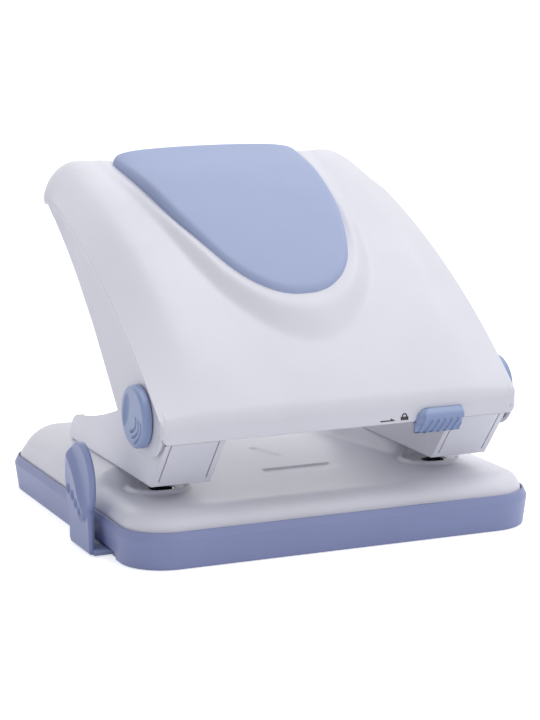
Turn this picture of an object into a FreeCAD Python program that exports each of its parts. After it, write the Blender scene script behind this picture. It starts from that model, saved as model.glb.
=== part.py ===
import FreeCAD, Part
import math
import os
import Sketcher
from FreeCAD import Placement, Rotation, Vector

# A manual two-hole desk punch, in millimetres.
# X runs across the punch, +Y to the rear and +Z up. The origin is on the table, under the middle of
# the base. Both punches stand on the hole line, and the hand lever turns about an axle ahead of it.

SIZES = {
    # paper
    "hole_spacing": 80.0, "hole_diameter": 6.0, "paper_margin": 12.0,
    # chip tray
    "base_width": 117.0, "base_depth": 112.0, "base_corner": 13.0, "tray_rim": 9.8, "tray_wall": 1.3,
    "tray_floor": 1.8, "tray_edge": 0.6, "band_height": 2.0, "band_lean": 0.95, "tray_draft": 1.0, "ledge_height": 5.0, "ledge_width": 2.0,
    "recess_length": 28.0, "recess_depth": 2.0, "recess_height": 2.4,
    "foot_radius": 5.0, "foot_height": 1.0, "foot_inset": 14.0,
    # base plate
    "plate_gap": 0.3, "plate_sheet": 1.2, "plate_top": 14.3, "plate_roll": 8.5, "hole_setback": 29.4,
    "seat_top": 18.6, "seat_roll": 12.0, "seat_inner": 25.3, "bead_radius": 7.6, "bead_width": 1.3,
    "bead_height": 0.15, "die_radius": 4.8, "die_length": 2.6,
    # brackets
    "bracket_width": 16.2, "bracket_sheet": 1.5, "bracket_slit": 0.3, "bracket_tail": 51.0,
    "bracket_toe": 14.8, "flange_lean": 11.2, "flange_rise": 13.0, "tail_height": 7.8, "tail_run": 9.0,
    "waist_run": 25.4, "waist_height": 11.1, "brow_run": 38.7, "brow_height": 14.7, "ear_radius": 5.5,
    "keeper_reach": 9.6, "keeper_root": 4.2, "keeper_height": 1.4, "keeper_length": 1.9, "keeper_drop": 3.0,
    "rivet_radius": 2.0, "rivet_head_radius": 3.6, "rivet_head_height": 1.3, "rivet_pitch": 20.0,
    "rivet_start": 8.0,
    # axle and caps
    "pin_arm": 14.9, "pivot_height": 37.2, "axle_radius": 2.5, "axle_overhang": 1.4, "clip_radius": 4.4,
    "clip_thickness": 0.7, "cap_radius": 8.0, "cap_height": 3.8, "cap_wall": 1.6, "cap_edge": 1.1,
    "cap_dish": 0.5,
    # punches
    "fit_clearance": 0.05, "guide_length": 6.4, "guide_wall": 1.25, "guide_flange": 0.8,
    "guide_flange_radius": 5.4, "pin_lift": 0.6, "head_radius": 4.2, "head_height": 1.3,
    "washer_radius": 5.6, "washer_height": 0.8, "nose_drop": 2.6, "nose_gap": 0.3,
    "spring_wire": 0.9, "spring_turns": 5.0,
    # hand lever
    "press_angle": 26.5, "lever_sheet": 1.5, "lever_gap": 0.6, "lever_slope": 25.8, "lever_start": 7.0,
    "lever_rise": 9.4, "lever_length": 66.0, "bush_radius": 4.0, "bush_length": 2.1, "heel_reach": 8.2,
    "heel_drop": 6.0, "screw_radius": 1.3, "screw_head_radius": 2.8, "screw_head_height": 1.6,
    "screw_grip": 6.0, "screw_spread": 22.0, "screw_first": 14.0, "screw_last": 54.0,
    "boss_radius": 3.4, "screw_bore_gap": 0.2, "ear_front": 6.8, "ear_front_rise": 2.0, "ear_brow": 3.5,
    "ear_brow_rise": 6.0, "ear_reach": 25.5, "ear_tail": 23.0, "ear_tail_rise": 2.0, "ear_belly": 17.0,
    "ear_belly_drop": 0.5, "ear_chin": 9.0, "ear_chin_drop": 1.8, "ear_throat": 2.0,
    "nose_heel": 1.5, "nose_heel_rise": 2.5, "nose_back": 19.5, "nose_back_rise": 7.5,
    "nose_front": 10.5, "nose_front_rise": 5.0,
    # handle cover
    "handle_width": 100.4, "handle_reach": 87.9, "handle_rise": 57.4, "cover_wall": 1.6,
    "lip_reach": 13.6, "lip_top": 0.8, "lip_drop": 5.1, "lip_wall": 1.2, "lip_end": 0.6, "lip_crease": 0.6,
    "band_drop": 4.2, "band_front": 12.0, "band_rear": 7.0, "rear_round": 3.0, "rear_corner": 14.0,
    "skirt_height": 8.2, "lobe_radius": 10.2, "lobe_reach": 13.1, "slit_top": 2.7, "wall_heel_reach": 14.5,
    "wall_heel_drop": 6.5, "wall_middle_reach": 38.5, "wall_middle_rise": 17.3,
    "wall_rear_reach": 64.4, "wall_rear_rise": 39.7, "wall_skirt_run": 11.0,
    "crown_front_slope": 47.7, "crown_rear_slope": 14.5, "fold_front_slope": 41.0,
    "fold_rear_slope": 16.0,
    # grip pad and its collar
    "pad_tip": 10.8, "pad_rear": 83.0, "pad_half_width": 28.5, "pad_seat": 0.15, "pad_edge": 2.1,
    "pad_crown": 2.3, "pad_tip_crown": 1.3, "pad_gap": 0.3, "collar_width": 9.3, "collar_side": 2.5, "collar_front": 1.5,
    "collar_rear": 0.5, "peg_radius": 2.0, "peg_length": 4.0, "peg_spread": 15.0,
    # lever lock
    "lock_start": 20.3, "lock_width": 13.4, "lock_height": 6.9, "lock_thickness": 2.8, "lock_gap": 0.3,
    "lock_overlap": 3.9, "lock_nose": 2.6, "lock_bevel": 0.6, "latch_sheet": 0.7, "latch_start": 14.5,
    "latch_width": 9.0, "tongue_length": 2.9, "tongue_drop": 1.6,
    # paper guide
    "blade_gap": 2.4, "blade_thickness": 1.7, "blade_width": 18.4, "blade_waist": 16.4,
    "waist_level": 11.0, "head_top": 28.6, "head_width": 19.0, "head_length": 20.6, "head_proud": 1.4,
    "scoop_depth": 1.0, "scoop_rim": 2.6, "bar_top_width": 18.0, "bar_bottom_width": 16.4,
    "bar_thickness": 1.4, "bar_length": 113.0, "bar_lift": 0.2, "bar_gap": 0.3, "tunnel_roof": 1.2,
    "guide_setback": 29.9,
}

doc = FreeCAD.newDocument("desk_punch")
sheet = doc.addObject("Spreadsheet::Sheet", "Sizes")
for row, (alias, value) in enumerate(SIZES.items(), start=1):
    sheet.set("A%d" % row, alias)
    sheet.set("B%d" % row, str(value))
    sheet.setAlias("B%d" % row, alias)
doc.recompute()


class Dimensions:
    """Reads a size from the spreadsheet by its alias."""

    def __getattr__(self, alias):
        return float(sheet.get(alias))


size = Dimensions()
parts = {}

# Places that several sub-parts share, worked out from the sheet.
hole_x = size.hole_spacing / 2
hole_y = size.hole_setback - size.base_depth / 2
pivot_y = hole_y - size.pin_arm
pivot = Vector(0, pivot_y, size.pivot_height)
bore_radius = size.hole_diameter / 2 + size.fit_clearance
stop_y = hole_y + size.paper_margin
wall_inner = hole_x - size.bracket_width / 2
wall_outer = hole_x + size.bracket_width / 2
channel_inner = wall_inner + size.bracket_sheet
channel_outer = wall_outer - size.bracket_sheet
bracket_floor = size.seat_top + size.bracket_sheet
press = math.radians(size.press_angle)
guide_y = size.guide_setback - size.base_depth / 2

HOLE_X = "Sizes.hole_spacing / 2"
HOLE_Y = "(Sizes.hole_setback - Sizes.base_depth / 2)"
PIVOT_Y = "(Sizes.hole_setback - Sizes.base_depth / 2 - Sizes.pin_arm)"
BORE = "(Sizes.hole_diameter / 2 + Sizes.fit_clearance)"


# ---- ways of making a sub-part ----

def bind(thing, **bindings):
    """Ties properties to spreadsheet expressions; a double underscore stands for a dot."""
    for name, expression in bindings.items():
        thing.setExpression(name.replace("__", "."), expression)


def place(thing, x="0", y="0", z="0"):
    """Ties an object's position to spreadsheet expressions."""
    bind(thing, Placement__Base__x=x, Placement__Base__y=y, Placement__Base__z=z)


def keep(label, thing):
    """Registers a finished sub-part under its node name."""
    thing.Label = label
    parts[label] = thing
    return thing


def shaped(label, shape, placement=None):
    """Holds a shape made with Part functions, as one named object."""
    feature = doc.addObject("Part::Feature", label)
    feature.Shape = shape
    if placement:
        feature.Placement = placement
    return keep(label, feature)


def new_sketch(body, name, role):
    """An empty sketch on one of the body's own origin planes."""
    sketch = body.newObject("Sketcher::SketchObject", name)
    plane = [item for item in body.Origin.OriginFeatures if item.Role == role][0]
    sketch.AttachmentSupport = [(plane, "")]
    sketch.MapMode = "FlatFace"
    return sketch


def draw_outline(sketch, points):
    """A closed outline whose corners follow spreadsheet expressions, (across, up) for each corner."""
    values = [(sheet.evalExpression(x), sheet.evalExpression(y)) for x, y in points]
    first = sketch.GeometryCount
    count = len(points)
    for i in range(count):
        start = Vector(values[i][0], values[i][1], 0)
        end = Vector(values[(i + 1) % count][0], values[(i + 1) % count][1], 0)
        sketch.addGeometry(Part.LineSegment(start, end), False)
    for i in range(count):
        joint = Sketcher.Constraint("Coincident", first + i, 2, first + (i + 1) % count, 1)
        sketch.addConstraint(joint)
    for i, (x, y) in enumerate(points):
        hold_point(sketch, first + i, "DistanceX", -2, x, values[i][0])
        hold_point(sketch, first + i, "DistanceY", -1, y, values[i][1])


def hold_point(sketch, edge, kind, axis, expression, value):
    """Keeps an edge's first end at a distance from the sketch's origin, or on its axis."""
    if expression == "0":
        sketch.addConstraint(Sketcher.Constraint("PointOnObject", edge, 1, axis))
        return
    index = sketch.addConstraint(Sketcher.Constraint(kind, -1, 1, edge, 1, value))
    sketch.setExpression("Constraints[%d]" % index, expression)


def draw_edges(sketch, edges):
    """A closed outline of lines and arcs, each starting where the last one ends."""
    for edge in edges:
        sketch.addGeometry(edge, False)


def draw_circle(sketch, x, y, radius):
    """A circle whose centre and radius follow spreadsheet expressions."""
    centre = Vector(sheet.evalExpression(x), sheet.evalExpression(y), 0)
    index = sketch.addGeometry(Part.Circle(centre, Vector(0, 0, 1), sheet.evalExpression(radius)), False)
    hold_centre(sketch, index, "DistanceX", -2, x, centre.x)
    hold_centre(sketch, index, "DistanceY", -1, y, centre.y)
    constraint = sketch.addConstraint(Sketcher.Constraint("Radius", index, sheet.evalExpression(radius)))
    sketch.setExpression("Constraints[%d]" % constraint, radius)


def hold_centre(sketch, circle, kind, axis, expression, value):
    """Keeps a circle's centre at a distance from the sketch's origin, or on its axis."""
    if expression == "0":
        sketch.addConstraint(Sketcher.Constraint("PointOnObject", circle, 3, axis))
        return
    index = sketch.addConstraint(Sketcher.Constraint(kind, -1, 1, circle, 3, value))
    sketch.setExpression("Constraints[%d]" % index, expression)


def turned(label, profile):
    """A body turned about Z from half its section, as (radius, height) expressions."""
    body = doc.addObject("PartDesign::Body", label)
    sketch = new_sketch(body, label + "_profile", "XZ_Plane")
    draw_outline(sketch, profile)
    revolution = body.newObject("PartDesign::Revolution", label + "_turn")
    revolution.Profile = sketch
    revolution.ReferenceAxis = (sketch, ["V_Axis"])
    revolution.Angle = 360
    return body


def padded(body, name, role, start, length, draw):
    """Adds a pad to a body: the sketch lies at start along the plane's normal."""
    sketch = new_sketch(body, name + "_sketch", role)
    draw(sketch)
    bind(sketch, AttachmentOffset__Base__z=start)
    pad = body.newObject("PartDesign::Pad", name)
    pad.Profile = sketch
    bind(pad, Length=length)
    return pad


def pocketed(body, name, role, start, depth, draw):
    """Cuts a pocket into a body, against the plane's normal."""
    sketch = new_sketch(body, name + "_sketch", role)
    draw(sketch)
    bind(sketch, AttachmentOffset__Base__z=start)
    pocket = body.newObject("PartDesign::Pocket", name)
    pocket.Profile = sketch
    bind(pocket, Length=depth)
    return pocket


def mirrored(label, source):
    """The other hand of a sub-part, across the middle of the punch."""
    mirror = doc.addObject("Part::Mirroring", label)
    mirror.Source = source
    mirror.Base = Vector(0, 0, 0)
    mirror.Normal = Vector(1, 0, 0)
    return keep(label, mirror)


def copies(label, master, placements):
    """Like pieces as one group of separate solids."""
    doc.recompute()
    shapes = []
    for placement in placements:
        copy = master.Shape.copy()
        copy.Placement = placement
        shapes.append(copy)
    return shaped(label, Part.makeCompound(shapes))


def rounded_rectangle(half_width, half_depth, radius):
    """The edges of a rectangle with rounded corners, about the origin."""
    edges = []
    inner_x = half_width - radius
    inner_y = half_depth - radius
    diagonal = radius * math.sqrt(0.5)
    for quarter in range(4):
        side_x = 1 if quarter in (0, 3) else -1
        side_y = 1 if quarter in (0, 1) else -1
        centre = Vector(side_x * inner_x, side_y * inner_y, 0)
        on_side = centre + Vector(side_x * radius, 0, 0)
        on_end = centre + Vector(0, side_y * radius, 0)
        middle = centre + Vector(side_x * diagonal, side_y * diagonal, 0)
        start, end = (on_side, on_end) if quarter in (0, 2) else (on_end, on_side)
        edges.append(Part.Arc(start, middle, end))
        following = (quarter + 1) % 4
        next_x = 1 if following in (0, 3) else -1
        next_y = 1 if following in (0, 1) else -1
        if quarter in (0, 2):
            straight_end = Vector(next_x * inner_x, next_y * half_depth, 0)
        else:
            straight_end = Vector(next_x * half_width, next_y * inner_y, 0)
        edges.append(Part.LineSegment(end, straight_end))
    return edges


def flat_face(edges):
    return Part.Face(Part.Wire([edge.toShape() for edge in edges]))


def outline_face(points):
    """A flat face through the corners of a closed outline, as vectors."""
    return Part.Face(Part.makePolygon(points + points[:1]))


def side_prism(corners, x_start, x_end):
    """A prism along X over an outline of (y, z) corners."""
    face = outline_face([Vector(x_start, y, z) for y, z in corners])
    return face.extrude(Vector(x_end - x_start, 0, 0))


def rod_along_x(radius, x_start, x_end, y=0, z=0):
    return Part.makeCylinder(radius, x_end - x_start, Vector(x_start, y, z), Vector(1, 0, 0))


# ---- chip tray: a moulded tray with a ledge that carries the base plate ----

def tray_outline(inset):
    half_width = size.base_width / 2 - inset
    return rounded_rectangle(half_width, size.base_depth / 2 - inset, size.base_corner - inset)


def dovetail(clearance, bottom, top):
    """Corners of the guide bar's dovetail section, (y, z), widened by a clearance."""
    spread = (size.bar_top_width - size.bar_bottom_width) / 2 / size.bar_thickness
    half_bottom = size.bar_bottom_width / 2 + clearance - spread * (size.bar_lift - bottom)
    half_top = half_bottom + spread * (top - bottom)
    return [(guide_y - half_bottom, bottom), (guide_y + half_bottom, bottom),
            (guide_y + half_top, top), (guide_y - half_top, top)]


def tray_wire(inset, level):
    """The tray's outline, drawn in by the inset, at one level."""
    wire = Part.Wire([edge.toShape() for edge in tray_outline(inset)])
    wire.translate(Vector(0, 0, level))
    return wire


def make_chip_tray():
    height = size.tray_rim
    widest = height - size.band_height
    sections = [tray_wire(size.tray_draft, 0), tray_wire(0, widest), tray_wire(size.band_lean, height)]
    outer = Part.makeLoft(sections[:2], True, True).fuse(Part.makeLoft(sections[1:], True, True)).removeSplitter()
    low_edges = [edge for edge in outer.Edges if edge.BoundBox.ZMax < 0.01]
    outer = outer.makeFillet(size.tray_edge, low_edges)

    well = flat_face(tray_outline(size.tray_wall)).extrude(Vector(0, 0, height))
    well.translate(Vector(0, 0, size.ledge_height))
    hollow = flat_face(tray_outline(size.tray_wall + size.ledge_width)).extrude(Vector(0, 0, height))
    hollow.translate(Vector(0, 0, size.tray_floor))

    # The guide bar runs in a dovetail channel under a raised tunnel.
    channel_top = size.bar_lift + size.bar_thickness + size.bar_gap
    half_inner = size.base_width / 2 - size.tray_wall
    tunnel_half = size.bar_top_width / 2 + size.bar_gap + size.tunnel_roof
    tunnel = Part.makeBox(2 * half_inner, 2 * tunnel_half, channel_top + size.tunnel_roof,
                          Vector(-half_inner, guide_y - tunnel_half, 0))
    tray = outer.cut([well, hollow]).fuse(tunnel)
    channel = side_prism(dovetail(size.bar_gap, 0, channel_top), -size.base_width, half_inner)

    # The tray's side steps in low down, beside the guide's foot.
    recess = Part.makeBox(size.recess_depth, size.recess_length, size.recess_height,
                          Vector(-size.base_width / 2, guide_y - size.recess_length / 2, 0))
    seats = [Part.makeCylinder(size.foot_radius, size.foot_height, Vector(x, y, 0)) for x, y in foot_places()]
    shaped("chip_tray", tray.cut([channel, recess] + seats).removeSplitter())


def foot_places():
    x = size.base_width / 2 - size.foot_inset
    y = size.base_depth / 2 - size.foot_inset
    return [(x, y), (-x, y), (x, -y), (-x, -y)]


def make_rubber_feet():
    foot = turned("foot_pattern", [
        ("0", "0"), ("Sizes.foot_radius - 0.3", "0"), ("Sizes.foot_radius", "0.3"),
        ("Sizes.foot_radius", "Sizes.foot_height"), ("0", "Sizes.foot_height")])
    copies("rubber_feet", foot, [Placement(Vector(x, y, 0), Rotation()) for x, y in foot_places()])


# ---- base plate: pressed sheet with a rolled edge and two raised bracket seats ----

def pressed_form(inset, bottom):
    """The plate's outside, or with the sheet's thickness as inset, its inside."""
    margin = size.tray_wall + size.plate_gap + inset
    floor_form = rolled_block(margin, bottom, size.plate_top - inset, size.plate_roll - inset)
    # The seats' roll leaves a flat for the rivets.
    beside_rivets = size.base_width / 2 - size.tray_wall - size.plate_gap - hole_x - size.rivet_head_radius
    seat_roll = min(size.seat_roll, beside_rivets)
    seat_form = rolled_block(margin, bottom, size.seat_top - inset, seat_roll - inset)
    start_x = size.seat_inner + inset
    start_y = stop_y + inset
    for side in (1, -1):
        corner = Vector(start_x if side > 0 else -start_x - size.base_width, start_y, 0)
        seat_box = Part.makeBox(size.base_width, size.base_depth, size.seat_top, corner)
        floor_form = floor_form.fuse(seat_form.common(seat_box))
    return floor_form


def rolled_block(margin, bottom, top, roll):
    """A rounded block whose top edge is rolled over."""
    block = flat_face(tray_outline(margin)).extrude(Vector(0, 0, top - bottom))
    block.translate(Vector(0, 0, bottom))
    top_edges = [edge for edge in block.Edges if edge.BoundBox.ZMin > top - 0.01]
    return block.makeFillet(roll, top_edges)


def rivet_places():
    y = stop_y + size.rivet_start
    return [(side * hole_x, y + i * size.rivet_pitch) for side in (-1, 1) for i in range(2)]


def make_base_plate():
    outside = pressed_form(0, size.ledge_height)
    inside = pressed_form(size.plate_sheet, 0)
    plate = outside.cut(inside)
    for side in (-1, 1):
        centre = Vector(side * hole_x, hole_y, size.plate_top - size.plate_sheet)
        bead = Part.makeCylinder(size.bead_radius, size.plate_sheet + size.bead_height, centre)
        flat = Part.makeCylinder(size.bead_radius - size.bead_width, 2 * size.plate_sheet,
                                 centre + Vector(0, 0, size.plate_sheet))
        die_hole = Part.makeCylinder(size.die_radius, 3 * size.plate_sheet, centre - Vector(0, 0, 0.5))
        plate = plate.fuse(bead.cut(flat)).cut(die_hole)
    holes = [Part.makeCylinder(size.rivet_radius, size.seat_top, Vector(x, y, 0)) for x, y in rivet_places()]
    shaped("base_plate", plate.cut(holes).removeSplitter())


def make_dies():
    die = keep("left_die", turned("left_die", [
        (BORE, "0"), ("Sizes.die_radius", "0"), ("Sizes.die_radius", "Sizes.die_length"),
        (BORE, "Sizes.die_length")]))
    place(die, "-" + HOLE_X, HOLE_Y, "Sizes.plate_top - Sizes.die_length")
    mirrored("right_die", die)


# ---- brackets: folded sheet channels with a sloping front flange ----

def bracket_edges():
    """The bracket's side outline in (y, z), as lines and arcs."""
    base = size.seat_top
    toe = hole_y - size.bracket_toe
    tail = hole_y + size.bracket_tail
    z0 = size.pivot_height
    flange_top = (toe - size.flange_lean, base + size.flange_rise)
    behind_flange = (toe - size.flange_lean + 2 * size.bracket_sheet, base + size.flange_rise + 0.2)
    ear_start = (pivot_y - size.ear_radius, z0)
    ear_top = Vector(pivot_y - size.ear_radius * math.sqrt(0.5), z0 + size.ear_radius * math.sqrt(0.5), 0)
    lean = math.radians(70)
    ear_end = (pivot_y + size.ear_radius * math.cos(lean), z0 + size.ear_radius * math.sin(lean))
    brow = (tail - size.brow_run, base + size.brow_height)
    waist = Vector(tail - size.waist_run, base + size.waist_height, 0)
    knee = (tail - size.tail_run, base + size.tail_height)
    tail_low = (tail, base + size.bracket_sheet)
    shoulder = Vector(tail - 0.3 * size.tail_run, base + 0.75 * size.tail_height, 0)
    corners = [(toe, base), flange_top, behind_flange, ear_start]
    edges = [Part.LineSegment(Vector(*a, 0), Vector(*b, 0)) for a, b in zip(corners, corners[1:])]
    edges.append(Part.Arc(Vector(*ear_start, 0), ear_top, Vector(*ear_end, 0)))
    edges.append(Part.LineSegment(Vector(*ear_end, 0), Vector(*brow, 0)))
    edges.append(Part.Arc(Vector(*brow, 0), waist, Vector(*knee, 0)))
    edges.append(Part.Arc(Vector(*knee, 0), shoulder, Vector(*tail_low, 0)))
    edges.append(Part.LineSegment(Vector(*tail_low, 0), Vector(tail, base, 0)))
    edges.append(Part.LineSegment(Vector(tail, base, 0), Vector(toe, base, 0)))
    return edges


def make_brackets():
    body = doc.addObject("PartDesign::Body", "left_bracket")
    sheet_wall = "Sizes.bracket_sheet"
    outer_x = "-(Sizes.hole_spacing + Sizes.bracket_width) / 2"
    inner_x = "-(Sizes.hole_spacing - Sizes.bracket_width) / 2 - Sizes.bracket_sheet"
    base = size.seat_top
    toe = hole_y - size.bracket_toe
    tail = hole_y + size.bracket_tail
    slope = size.flange_lean / size.flange_rise
    sheet_run = size.bracket_sheet * math.hypot(1, slope)

    def draw_floor(sketch):
        lift = size.bracket_sheet * slope
        corners = [(toe, base), (tail, base), (tail, base + size.bracket_sheet),
                   (toe - lift, base + size.bracket_sheet)]
        draw_edges(sketch, closed_lines(corners))

    def draw_flange(sketch):
        top_y = toe - size.flange_lean
        top_z = base + size.flange_rise
        corners = [(toe, base), (toe + sheet_run, base), (top_y + sheet_run, top_z), (top_y, top_z)]
        draw_edges(sketch, closed_lines(corners))

    padded(body, "left_bracket_floor", "YZ_Plane", outer_x, "Sizes.bracket_width", draw_floor)
    padded(body, "left_bracket_outer", "YZ_Plane", outer_x, sheet_wall,
           lambda sketch: draw_edges(sketch, bracket_edges()))
    padded(body, "left_bracket_inner", "YZ_Plane", inner_x, sheet_wall,
           lambda sketch: draw_edges(sketch, bracket_edges()))
    padded(body, "left_bracket_flange", "YZ_Plane", outer_x + " + Sizes.bracket_sheet + Sizes.bracket_slit",
           "Sizes.bracket_width - 2 * (Sizes.bracket_sheet + Sizes.bracket_slit)", draw_flange)
    pocketed(body, "left_bracket_bore", "YZ_Plane", "0", "Sizes.base_width",
             lambda sketch: draw_circle(sketch, PIVOT_Y, "Sizes.pivot_height", "Sizes.axle_radius"))

    def draw_floor_holes(sketch):
        draw_circle(sketch, "-" + HOLE_X, HOLE_Y, BORE + " + Sizes.guide_wall")
        for i in range(2):
            y = HOLE_Y + " + Sizes.paper_margin + Sizes.rivet_start + %d * Sizes.rivet_pitch" % i
            draw_circle(sketch, "-" + HOLE_X, y, "Sizes.rivet_radius")

    pocketed(body, "left_bracket_floor_holes", "XY_Plane", "Sizes.seat_top + 2 * Sizes.bracket_sheet",
             "3 * Sizes.bracket_sheet", draw_floor_holes)
    keep("left_bracket", body)
    mirrored("right_bracket", body)


def make_keeper():
    """A tab welded to the right bracket. The lock's tongue slides over it with the lever up, under it with it down."""
    keeper = doc.addObject("Part::Box", "lock_keeper")
    bind(keeper, Length="Sizes.keeper_length", Width="Sizes.keeper_reach - Sizes.keeper_root",
         Height="Sizes.keeper_height")
    place(keeper, "(Sizes.hole_spacing - Sizes.bracket_width) / 2 - Sizes.keeper_length",
          PIVOT_Y + " - Sizes.keeper_reach", "Sizes.pivot_height - Sizes.keeper_drop - Sizes.keeper_height")
    keep("lock_keeper", keeper)


def closed_lines(corners):
    """Straight edges round a closed outline of flat corners."""
    following = corners[1:] + corners[:1]
    return [Part.LineSegment(Vector(*a, 0), Vector(*b, 0)) for a, b in zip(corners, following)]


def make_rivets():
    head = "Sizes.rivet_head_radius"
    rise = "Sizes.rivet_head_height"
    grip = "(Sizes.bracket_sheet + Sizes.plate_sheet)"
    rivet = turned("rivet_pattern", [
        ("0", "-" + rise), (head + " * 0.6", "-" + rise), (head, "-0.4 * " + rise), (head, "0"),
        ("Sizes.rivet_radius", "0"), ("Sizes.rivet_radius", grip), (head, grip),
        (head, grip + " + 0.4 * " + rise), (head + " * 0.6", grip + " + " + rise), ("0", grip + " + " + rise)])
    z = size.seat_top - size.plate_sheet
    copies("bracket_rivets", rivet, [Placement(Vector(x, y, z), Rotation()) for x, y in rivet_places()])


# ---- punches: guide, pin, washer and spring on each hole's axis ----

HEAD_TOP = "(Sizes.pivot_height - Sizes.nose_drop - Sizes.nose_gap)"
WASHER_LOW = "(" + HEAD_TOP + " - Sizes.head_height - Sizes.washer_height)"


def make_pin_guides():
    wall = BORE + " + Sizes.guide_wall"
    floor = "Sizes.bracket_sheet"
    guide = keep("left_pin_guide", turned("left_pin_guide", [
        (BORE, "0"), (wall, "0"), (wall, floor), ("Sizes.guide_flange_radius", floor),
        ("Sizes.guide_flange_radius", floor + " + Sizes.guide_flange"), (wall, floor + " + Sizes.guide_flange"),
        (wall, "Sizes.guide_length"), (BORE, "Sizes.guide_length")]))
    place(guide, "-" + HOLE_X, HOLE_Y, "Sizes.seat_top")
    mirrored("right_pin_guide", guide)


def make_punch_pins():
    shank = "Sizes.hole_diameter / 2"
    tip = "(Sizes.seat_top + Sizes.pin_lift)"
    top = HEAD_TOP + " - " + tip
    pin = keep("left_punch_pin", turned("left_punch_pin", [
        ("0", "0.8"), (shank, "0"), (shank, top + " - Sizes.head_height"),
        ("Sizes.head_radius", top + " - Sizes.head_height"), ("Sizes.head_radius", top), ("0", top)]))
    place(pin, "-" + HOLE_X, HOLE_Y, tip)
    mirrored("right_punch_pin", pin)


def make_pin_washers():
    bore = "Sizes.hole_diameter / 2"
    washer = keep("left_pin_washer", turned("left_pin_washer", [
        (bore, "0"), ("Sizes.washer_radius", "0"), ("Sizes.washer_radius", "Sizes.washer_height"),
        (bore, "Sizes.washer_height")]))
    place(washer, "-" + HOLE_X, HOLE_Y, WASHER_LOW)
    mirrored("right_pin_washer", washer)


def make_pin_springs():
    low = bracket_floor + size.guide_flange
    high = size.pivot_height - size.nose_drop - size.nose_gap - size.head_height - size.washer_height
    wire = size.spring_wire / 2
    coil = size.washer_radius - wire - 2 * size.fit_clearance
    height = high - low - 2 * wire
    path = Part.makeHelix(height / size.spring_turns, height, coil)
    # The springs are die springs, wound from square wire.
    corners = [Vector(coil + across * wire, 0, up * wire) for across, up in ((-1, -1), (1, -1), (1, 1), (-1, 1))]
    section = Part.makePolygon(corners + corners[:1])
    spring = Part.Wire(path.Edges).makePipeShell([section], True, True)
    for side, label in ((-1, "left_pin_spring"), (1, "right_pin_spring")):
        shaped(label, spring, Placement(Vector(side * hole_x, hole_y, low + wire), Rotation()))


# ---- axle, its clips and the caps over them ----

def make_axle():
    reach = "(Sizes.handle_width / 2 + Sizes.axle_overhang)"
    axle = doc.addObject("Part::Cylinder", "pivot_axle")
    bind(axle, Radius="Sizes.axle_radius", Height="2 * " + reach)
    axle.Placement = Placement(Vector(0, 0, 0), Rotation(Vector(0, 1, 0), 90))
    place(axle, "-" + reach, PIVOT_Y, "Sizes.pivot_height")
    keep("pivot_axle", axle)


def make_axle_clips():
    clip = turned("clip_pattern", [
        ("Sizes.axle_radius", "0"), ("Sizes.clip_radius", "0"),
        ("Sizes.clip_radius", "Sizes.clip_thickness"), ("Sizes.axle_radius", "Sizes.clip_thickness")])
    start = size.handle_width / 2 + size.nose_gap
    along_x = Rotation(Vector(0, 1, 0), 90)
    copies("axle_clips", clip, [
        Placement(pivot + Vector(start, 0, 0), along_x),
        Placement(pivot - Vector(start + size.clip_thickness, 0, 0), along_x)])


def make_caps():
    inner = "Sizes.cap_radius - Sizes.cap_wall"
    crown = "Sizes.cap_height - 1.2"
    cap = keep("right_pivot_cap", turned("right_pivot_cap", [
        (inner, "0"), ("Sizes.cap_radius", "0"), ("Sizes.cap_radius", "Sizes.cap_height - Sizes.cap_edge"),
        ("Sizes.cap_radius - Sizes.cap_edge", "Sizes.cap_height"),
        ("Sizes.cap_radius - 2 * Sizes.cap_edge", "Sizes.cap_height"),
        ("0", "Sizes.cap_height - Sizes.cap_dish"), ("0", crown), (inner, crown)]))
    cap.Placement = Placement(Vector(0, 0, 0), Rotation(Vector(0, 1, 0), 90))
    place(cap, "Sizes.handle_width / 2", PIVOT_Y, "Sizes.pivot_height")
    mirrored("left_pivot_cap", cap)


# ---- hand lever: pressed steel, drawn about the axle, with cam noses over the pins ----

at_pivot = Placement(pivot, Rotation())
slope = math.radians(size.lever_slope)
along_plate = Vector(0, math.cos(slope), math.sin(slope))
off_plate = Vector(0, -math.sin(slope), math.cos(slope))
plate_start = Vector(0, size.lever_start, size.lever_rise)


def ear_starts():
    """Where each ear of the lever begins along X, from left to right."""
    inner = channel_inner + size.lever_gap
    outer = channel_outer - size.lever_gap - size.lever_sheet
    return [-outer - size.lever_sheet, -inner - size.lever_sheet, inner, outer]


def on_plate(distance, depth=0.0):
    """A point (y, z) on the lever's top face, or below it."""
    point = plate_start + along_plate * distance - off_plate * depth
    return (point.y, point.z)


def make_lever_frame():
    half = channel_outer - size.lever_gap
    thickness = size.lever_sheet
    plate = side_prism([on_plate(0), on_plate(size.lever_length), on_plate(size.lever_length, thickness),
                        on_plate(0, thickness)], -half, half)
    outline = [(-size.heel_reach, -size.heel_drop), (-size.ear_front, size.ear_front_rise),
               (-size.ear_brow, size.ear_brow_rise), on_plate(0, thickness / 2),
               on_plate(size.ear_reach, thickness / 2), (size.ear_tail, size.ear_tail_rise),
               (size.ear_belly, -size.ear_belly_drop), (size.ear_chin, -size.ear_chin_drop),
               (size.ear_throat, -size.heel_drop - size.ear_belly_drop)]
    lever = plate
    for start in ear_starts():
        lever = lever.fuse(side_prism(outline, start, start + thickness))
    bores = rod_along_x(size.bush_radius, -size.base_width, size.base_width)
    depth = 2 * thickness
    holes = [Part.makeCylinder(size.screw_radius + size.screw_bore_gap, 2 * depth,
                               screw_point(x, along) - off_plate * depth, off_plate)
             for x, along in screw_places()]
    shaped("lever_frame", lever.cut([bores] + holes).removeSplitter(), at_pivot)


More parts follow.
